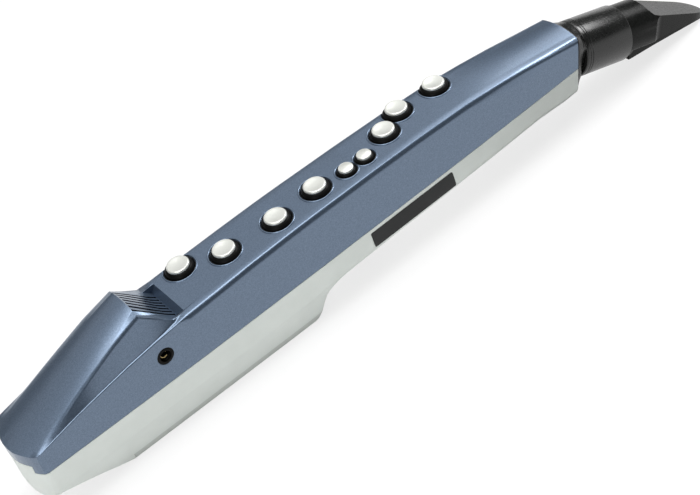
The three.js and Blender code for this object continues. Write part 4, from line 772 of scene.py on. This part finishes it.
for name in key_names:
    kind = key_kinds[name]
    place = key_places[name]
    cap = turn_shape(cap_profile(kind))
    bmesh.ops.transform(cap, matrix=place, verts=cap.verts)
    cap_piece = add_piece(name + "_cap", cap, silver_paint, name)
    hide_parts(name)

    to_key = place.inverted()
    made_base = frame["nodes"][name + "_base"].data
    stem_end = min((to_key @ vertex.co).z for vertex in made_base.vertices)
    base = turn_shape(base_profile(kind, stem_end))
    bmesh.ops.transform(base, matrix=place, verts=base.verts)
    sleeve_outer = kind["well"] - sleeve_gap
    sleeve_inner = sleeve_outer - sleeve_wall
    sleeve = turn_shape([(sleeve_inner, sleeve_top), (sleeve_outer, sleeve_top - sleeve_lip),
                         (sleeve_outer, -sleeve_depth), (sleeve_inner, -sleeve_depth)], closed=True)
    bmesh.ops.transform(sleeve, matrix=place, verts=sleeve.verts)
    rim_points = [(kind["well"] + rim_middle + rim_half_width * math.cos(math.radians(a)),
                   rim_height * math.sin(math.radians(a))) for a in range(0, 181, rim_turn)]
    rim_points += [(kind["well"] + rim_middle - rim_half_width, rim_foot),
                   (kind["well"] + rim_middle + rim_half_width, rim_foot)]
    rim = turn_shape(rim_points, closed=True)
    bmesh.ops.transform(rim, matrix=place, verts=rim.verts)
    spot = place.translation
    base_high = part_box(name + "_base")[1]
    for shape in (base, sleeve, rim):
        if base_high.y < spot.y + kind["well"] - base_gap - cut_slack:
            cut_away(shape, Vector((0, base_high.y, 0)), Vector((0, 1, 0)))
    for other in key_names:
        apart = key_places[other].translation - spot
        apart.z = 0
        reach = kind["well"] + key_kinds[other]["well"]
        if other != name and apart.length < reach + key_gap:
            share = kind["well"] / reach
            middle = spot + apart * share
            cut_away(base, middle - apart.normalized() * key_gap / 2, apart.normalized())
            cut_away(sleeve, middle, apart.normalized())
            cut_away(rim, middle, apart.normalized())
    base_piece = add_piece(name + "_black_base", base, key_black, name)
    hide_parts(name + "_base")
    add_piece(name + "_sleeve", sleeve, sleeve_black, "housing")
    add_piece(name + "_well_rim", rim, blue_paint, "housing")

# Key frame, pad and board
# Under the front cover a black plate guides the key stems. Below it lie the rubber contact pad and
# the green glass-fibre board, on which the plate's legs stand.
track_scale = 260
track_gap_share = 0.09

def finish_node(name, finish):
    """A made node that keeps its own shape and gets its finish."""
    node = frame["nodes"][name]
    node.data.materials.clear()
    node.data.materials.append(finish)


def circuit_board(name):
    """Green solder mask over copper tracks, with the weave of the glass just visible."""
    finish, shader, place = start_finish(name, roughness=0.35)
    tracks = finish.node_tree.nodes.new("ShaderNodeTexBrick")
    tracks.inputs["Scale"].default_value = track_scale
    tracks.inputs["Mortar Size"].default_value = track_gap_share
    tracks.inputs["Color1"].default_value = (0.012, 0.115, 0.045, 1)
    tracks.inputs["Color2"].default_value = (0.014, 0.130, 0.052, 1)
    tracks.inputs["Mortar"].default_value = (0.030, 0.210, 0.085, 1)
    finish.node_tree.links.new(place, tracks.inputs["Vector"])
    finish.node_tree.links.new(tracks.outputs["Color"], shader.inputs["Base Color"])
    relief(finish, shader, cloud(finish, place, size=0.0006), depth=0.00001)
    return finish


def rubber(name):
    """Black silicone rubber with a dull, slightly dusty skin."""
    return moulded(name, (0.018, 0.018, 0.018, 1), (0.028, 0.028, 0.027, 1), roughness=0.75,
                   grain=0.0006, depth=0.00001, specular=0.3)


black_plastic = moulded("satin_black_plastic", (0.010, 0.011, 0.010, 1), (0.015, 0.016, 0.015, 1),
                        roughness=0.38, grain=0.0005, depth=0.000006)
board_green = circuit_board("glass_fibre_board")
pad_rubber = rubber("contact_pad_rubber")
finish_node("key_frame", black_plastic)
finish_node("key_board", board_green)
finish_node("key_pad", pad_rubber)

# Speaker
# A small round driver behind the slots: pressed steel basket and magnet, treated paper cone, on a
# black baffle that closes the housing around it.
cone_paper = moulded("speaker_paper", (0.022, 0.022, 0.022, 1), (0.038, 0.038, 0.036, 1), roughness=0.85,
                     grain=0.0005, depth=0.00003, specular=0.2)
finish_node("speaker_baffle", black_plastic)
finish_node("speaker_basket", steel)
finish_node("speaker_magnet", steel)
finish_node("speaker_cone", cone_paper)

# Battery bay
# Four round cells lie in line in pairs in a black tray, between a steel joining plate at the far end
# and two steel springs at the near end, drawn as plain cones.
cell_blue = moulded("cell_sleeve", (0.030, 0.075, 0.220, 1), (0.045, 0.095, 0.260, 1), roughness=0.28,
                    grain=0.001, depth=0.000003)
for name in ("battery_1", "battery_2", "battery_3", "battery_4"):
    dress(name, cell_blue)
finish_node("battery_tray", black_plastic)
finish_node("contact_plate", steel)
finish_node("battery_spring_left", steel)
finish_node("battery_spring_right", steel)

# Main board and back keys
# The main board lies on posts in the slim part. Two silver octave keys and four rubber buttons stand
# through the rear cover under it, with a clear lens for the indicator beside them.
finish_node("main_board", board_green)
finish_node("back_pad", pad_rubber)
button_rubber = rubber("button_rubber")
for name in ("octave_key_low", "octave_key_high"):
    dress(name, silver_paint, edge=0.0003)
for name in ("power_button", "tone_button", "volume_down_button", "volume_up_button"):
    dress(name, button_rubber, edge=0.00025)
clear_lens, lens_shader, lens_place = start_finish("clear_lens", roughness=0.12)
lens_shader.inputs["Transmission Weight"].default_value = 0.7
tint(clear_lens, lens_shader, cloud(clear_lens, lens_place, size=0.002), (0.66, 0.80, 0.68, 1),
     (0.74, 0.86, 0.75, 1))
finish_node("indicator_lens", clear_lens)

# Thumb hook, thumb rest and strap ring
# The right thumb lies under a moulded hook, the left one on a rubber rest, and a steel eye takes the
# hook of a neck strap. All three are fixed to the rear cover's floor.
dress("thumb_hook", black_plastic, edge=0.0004)
dress("thumb_rest", button_rubber)
dress("strap_ring", steel, edge=0.0003)

# Phones jack and USB port
# The jack is a black sleeve whose round rim lies in a dish of the wall, with a brass spring contact
# deep in its bore. The USB port is a steel shell on the same small board.
jack_rim = 0.0047
jack_hole = 0.0030
jack_throat = 0.0035
jack_body = 0.0048
jack_sink = 0.0015
jack_back = -0.0085
jack_bore_step = 0.0004
jack_lip_round = 0.00035
jack_rim_round = 0.0004
jack_low, jack_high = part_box("phones_jack")
jack_spot = Vector(((jack_low.x + jack_high.x) / 2, jack_low.y - jack_sink, (jack_low.z + jack_high.z) / 2))
jack_turn = Matrix.Translation(jack_spot) @ Matrix.Rotation(math.pi / 2, 4, "X")
jack_profile = (
    [(jack_hole - jack_bore_step, jack_back), (jack_hole - jack_bore_step, -0.0016), (jack_hole, -0.0009)]
    + arc((jack_hole + jack_lip_round, -0.0002), jack_lip_round, 180, 80, 4)
    + arc((jack_rim - 0.00045, -0.0003), jack_rim_round, 80, -20, 4)
    + [(jack_throat - 0.0001, -0.0013), (jack_throat - 0.0001, -0.0026), (jack_body, -0.0027),
       (jack_body, jack_back)]
)
jack_shape = turn_shape(jack_profile, closed=True)
bmesh.ops.transform(jack_shape, matrix=jack_turn, verts=jack_shape.verts)
jack_piece = add_piece("phones_jack_sleeve", jack_shape, key_black, "housing")
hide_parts("phones_jack")

brass, brass_shader, brass_place = start_finish("brass_contact", roughness=0.3, metallic=1.0)
brass_wear = cloud(brass, brass_place, size=0.0008, detail=3.0)
tint(brass, brass_shader, brass_wear, (0.50, 0.38, 0.17, 1), (0.66, 0.52, 0.27, 1))
gloss(brass, brass_shader, brass_wear, low=0.22, high=0.4)
contact_radius = 0.0019
contact_sink = 0.0021
contact_wire = 0.00028
contact_sweep = math.radians(285)
contact_steps = 36
contact_start = math.radians(30)
contact = bmesh.new()
bmesh.ops.create_circle(contact, cap_ends=True, segments=8, radius=contact_wire)
bmesh.ops.rotate(contact, verts=contact.verts, cent=(0, 0, 0), matrix=Matrix.Rotation(math.pi / 2, 3, "X"))
bmesh.ops.translate(contact, verts=contact.verts, vec=(contact_radius, 0, -contact_sink))
bmesh.ops.spin(contact, geom=contact.verts[:] + contact.edges[:] + contact.faces[:], cent=(0, 0, 0),
               axis=(0, 0, 1), dvec=(0, 0, 0), angle=contact_sweep, steps=contact_steps, use_merge=False,
               use_duplicate=False)
bmesh.ops.recalc_face_normals(contact, faces=contact.faces)
contact_turn = jack_turn @ Matrix.Rotation(contact_start, 4, "Z")
bmesh.ops.transform(contact, matrix=contact_turn, verts=contact.verts)
contact_piece = add_piece("jack_spring_contact", contact, brass, "housing")
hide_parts("jack_contact")
finish_node("usb_port", steel)
finish_node("jack_board", board_green)

# Neck
# A black collar flares from the housing's mouth to the round barrel, which carries the tenon with
# its rubber ring. All is moulded in satin black plastic, and two fine grooves run round the barrel.
barrel_rings = 96
barrel_bore = 0.0030
barrel_radius = 0.0155
barrel_foot = -0.0171
barrel_foot_round = 0.0009
barrel_top = 0.0153
barrel_top_round = 0.0007
groove_floor = 0.0152
groove_feet = (-0.0149, -0.0134)
groove_slope = 0.0002
groove_width = 0.0003
tenon_radius = 0.0089
tenon_end = 0.0308
tenon_round = 0.0004
seal_floor = 0.00805
seal_low = 0.02383
seal_high = 0.02513
barrel_profile = [(barrel_bore, barrel_foot), (barrel_radius - barrel_foot_round, barrel_foot)]
barrel_profile += arc((barrel_radius - barrel_foot_round, barrel_foot + barrel_foot_round),
                      barrel_foot_round, -90, 0, 4)
for foot in groove_feet:
    barrel_profile += [(barrel_radius, foot), (groove_floor, foot + groove_slope),
                       (groove_floor, foot + groove_slope + groove_width),
                       (barrel_radius, foot + groove_width + 2 * groove_slope)]
barrel_profile += arc((barrel_radius - barrel_top_round, barrel_top - barrel_top_round),
                      barrel_top_round, 0, 90, 4)
barrel_profile += [(tenon_radius, barrel_top), (tenon_radius, seal_low), (seal_floor, seal_low),
                   (seal_floor, seal_high), (tenon_radius, seal_high),
                   (tenon_radius, tenon_end - tenon_round), (tenon_radius - tenon_round, tenon_end),
                   (barrel_bore, tenon_end)]
barrel_origin = Vector((0.14879163, 0, 0.03015925))
barrel_axis = Vector((0.95307, 0, -0.30274))
collar_corner = math.radians(40)
neck_black = moulded("neck_black_plastic", (0.006, 0.0065, 0.006, 1), (0.009, 0.0095, 0.009, 1),
                     roughness=0.24, grain=0.0012, depth=0.000002)
dress("neck_collar", neck_black, corner=collar_corner)
barrel_shape = turn_shape(barrel_profile, barrel_rings, closed=True)
barrel_turn = Matrix.Translation(barrel_origin) @ barrel_axis.to_track_quat("Z", "Y").to_matrix().to_4x4()
bmesh.ops.transform(barrel_shape, matrix=barrel_turn, verts=barrel_shape.verts)
barrel_body = frame["nodes"]["neck_barrel"]["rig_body"]
barrel_piece = add_piece("neck_barrel_turned", barrel_shape, neck_black, barrel_body)
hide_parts("neck_barrel")
finish_node("tenon_seal", button_rubber)

# Mouthpiece and reed
# The beak is moulded in glossy black plastic with a flat slope on top. The reed, in the same black,
# lies under its flat table and tapers to the tip.
beak_corner = math.radians(28)
beak_black = moulded("mouthpiece_black", (0.006, 0.0065, 0.006, 1), (0.009, 0.0095, 0.009, 1),
                     roughness=0.27, grain=0.0015, depth=0.000003, specular=0.13)
dress("mouthpiece", beak_black, corner=beak_corner)
dress("reed", beak_black, corner=beak_corner)

# Breath tube and sensor
# A clear hose leads from the barrel's bore to the pressure sensor inside the housing. The sensor is a
# small black body at the hose's inner end.
finish_node("breath_tube", clear_lens)
finish_node("breath_sensor", black_plastic)
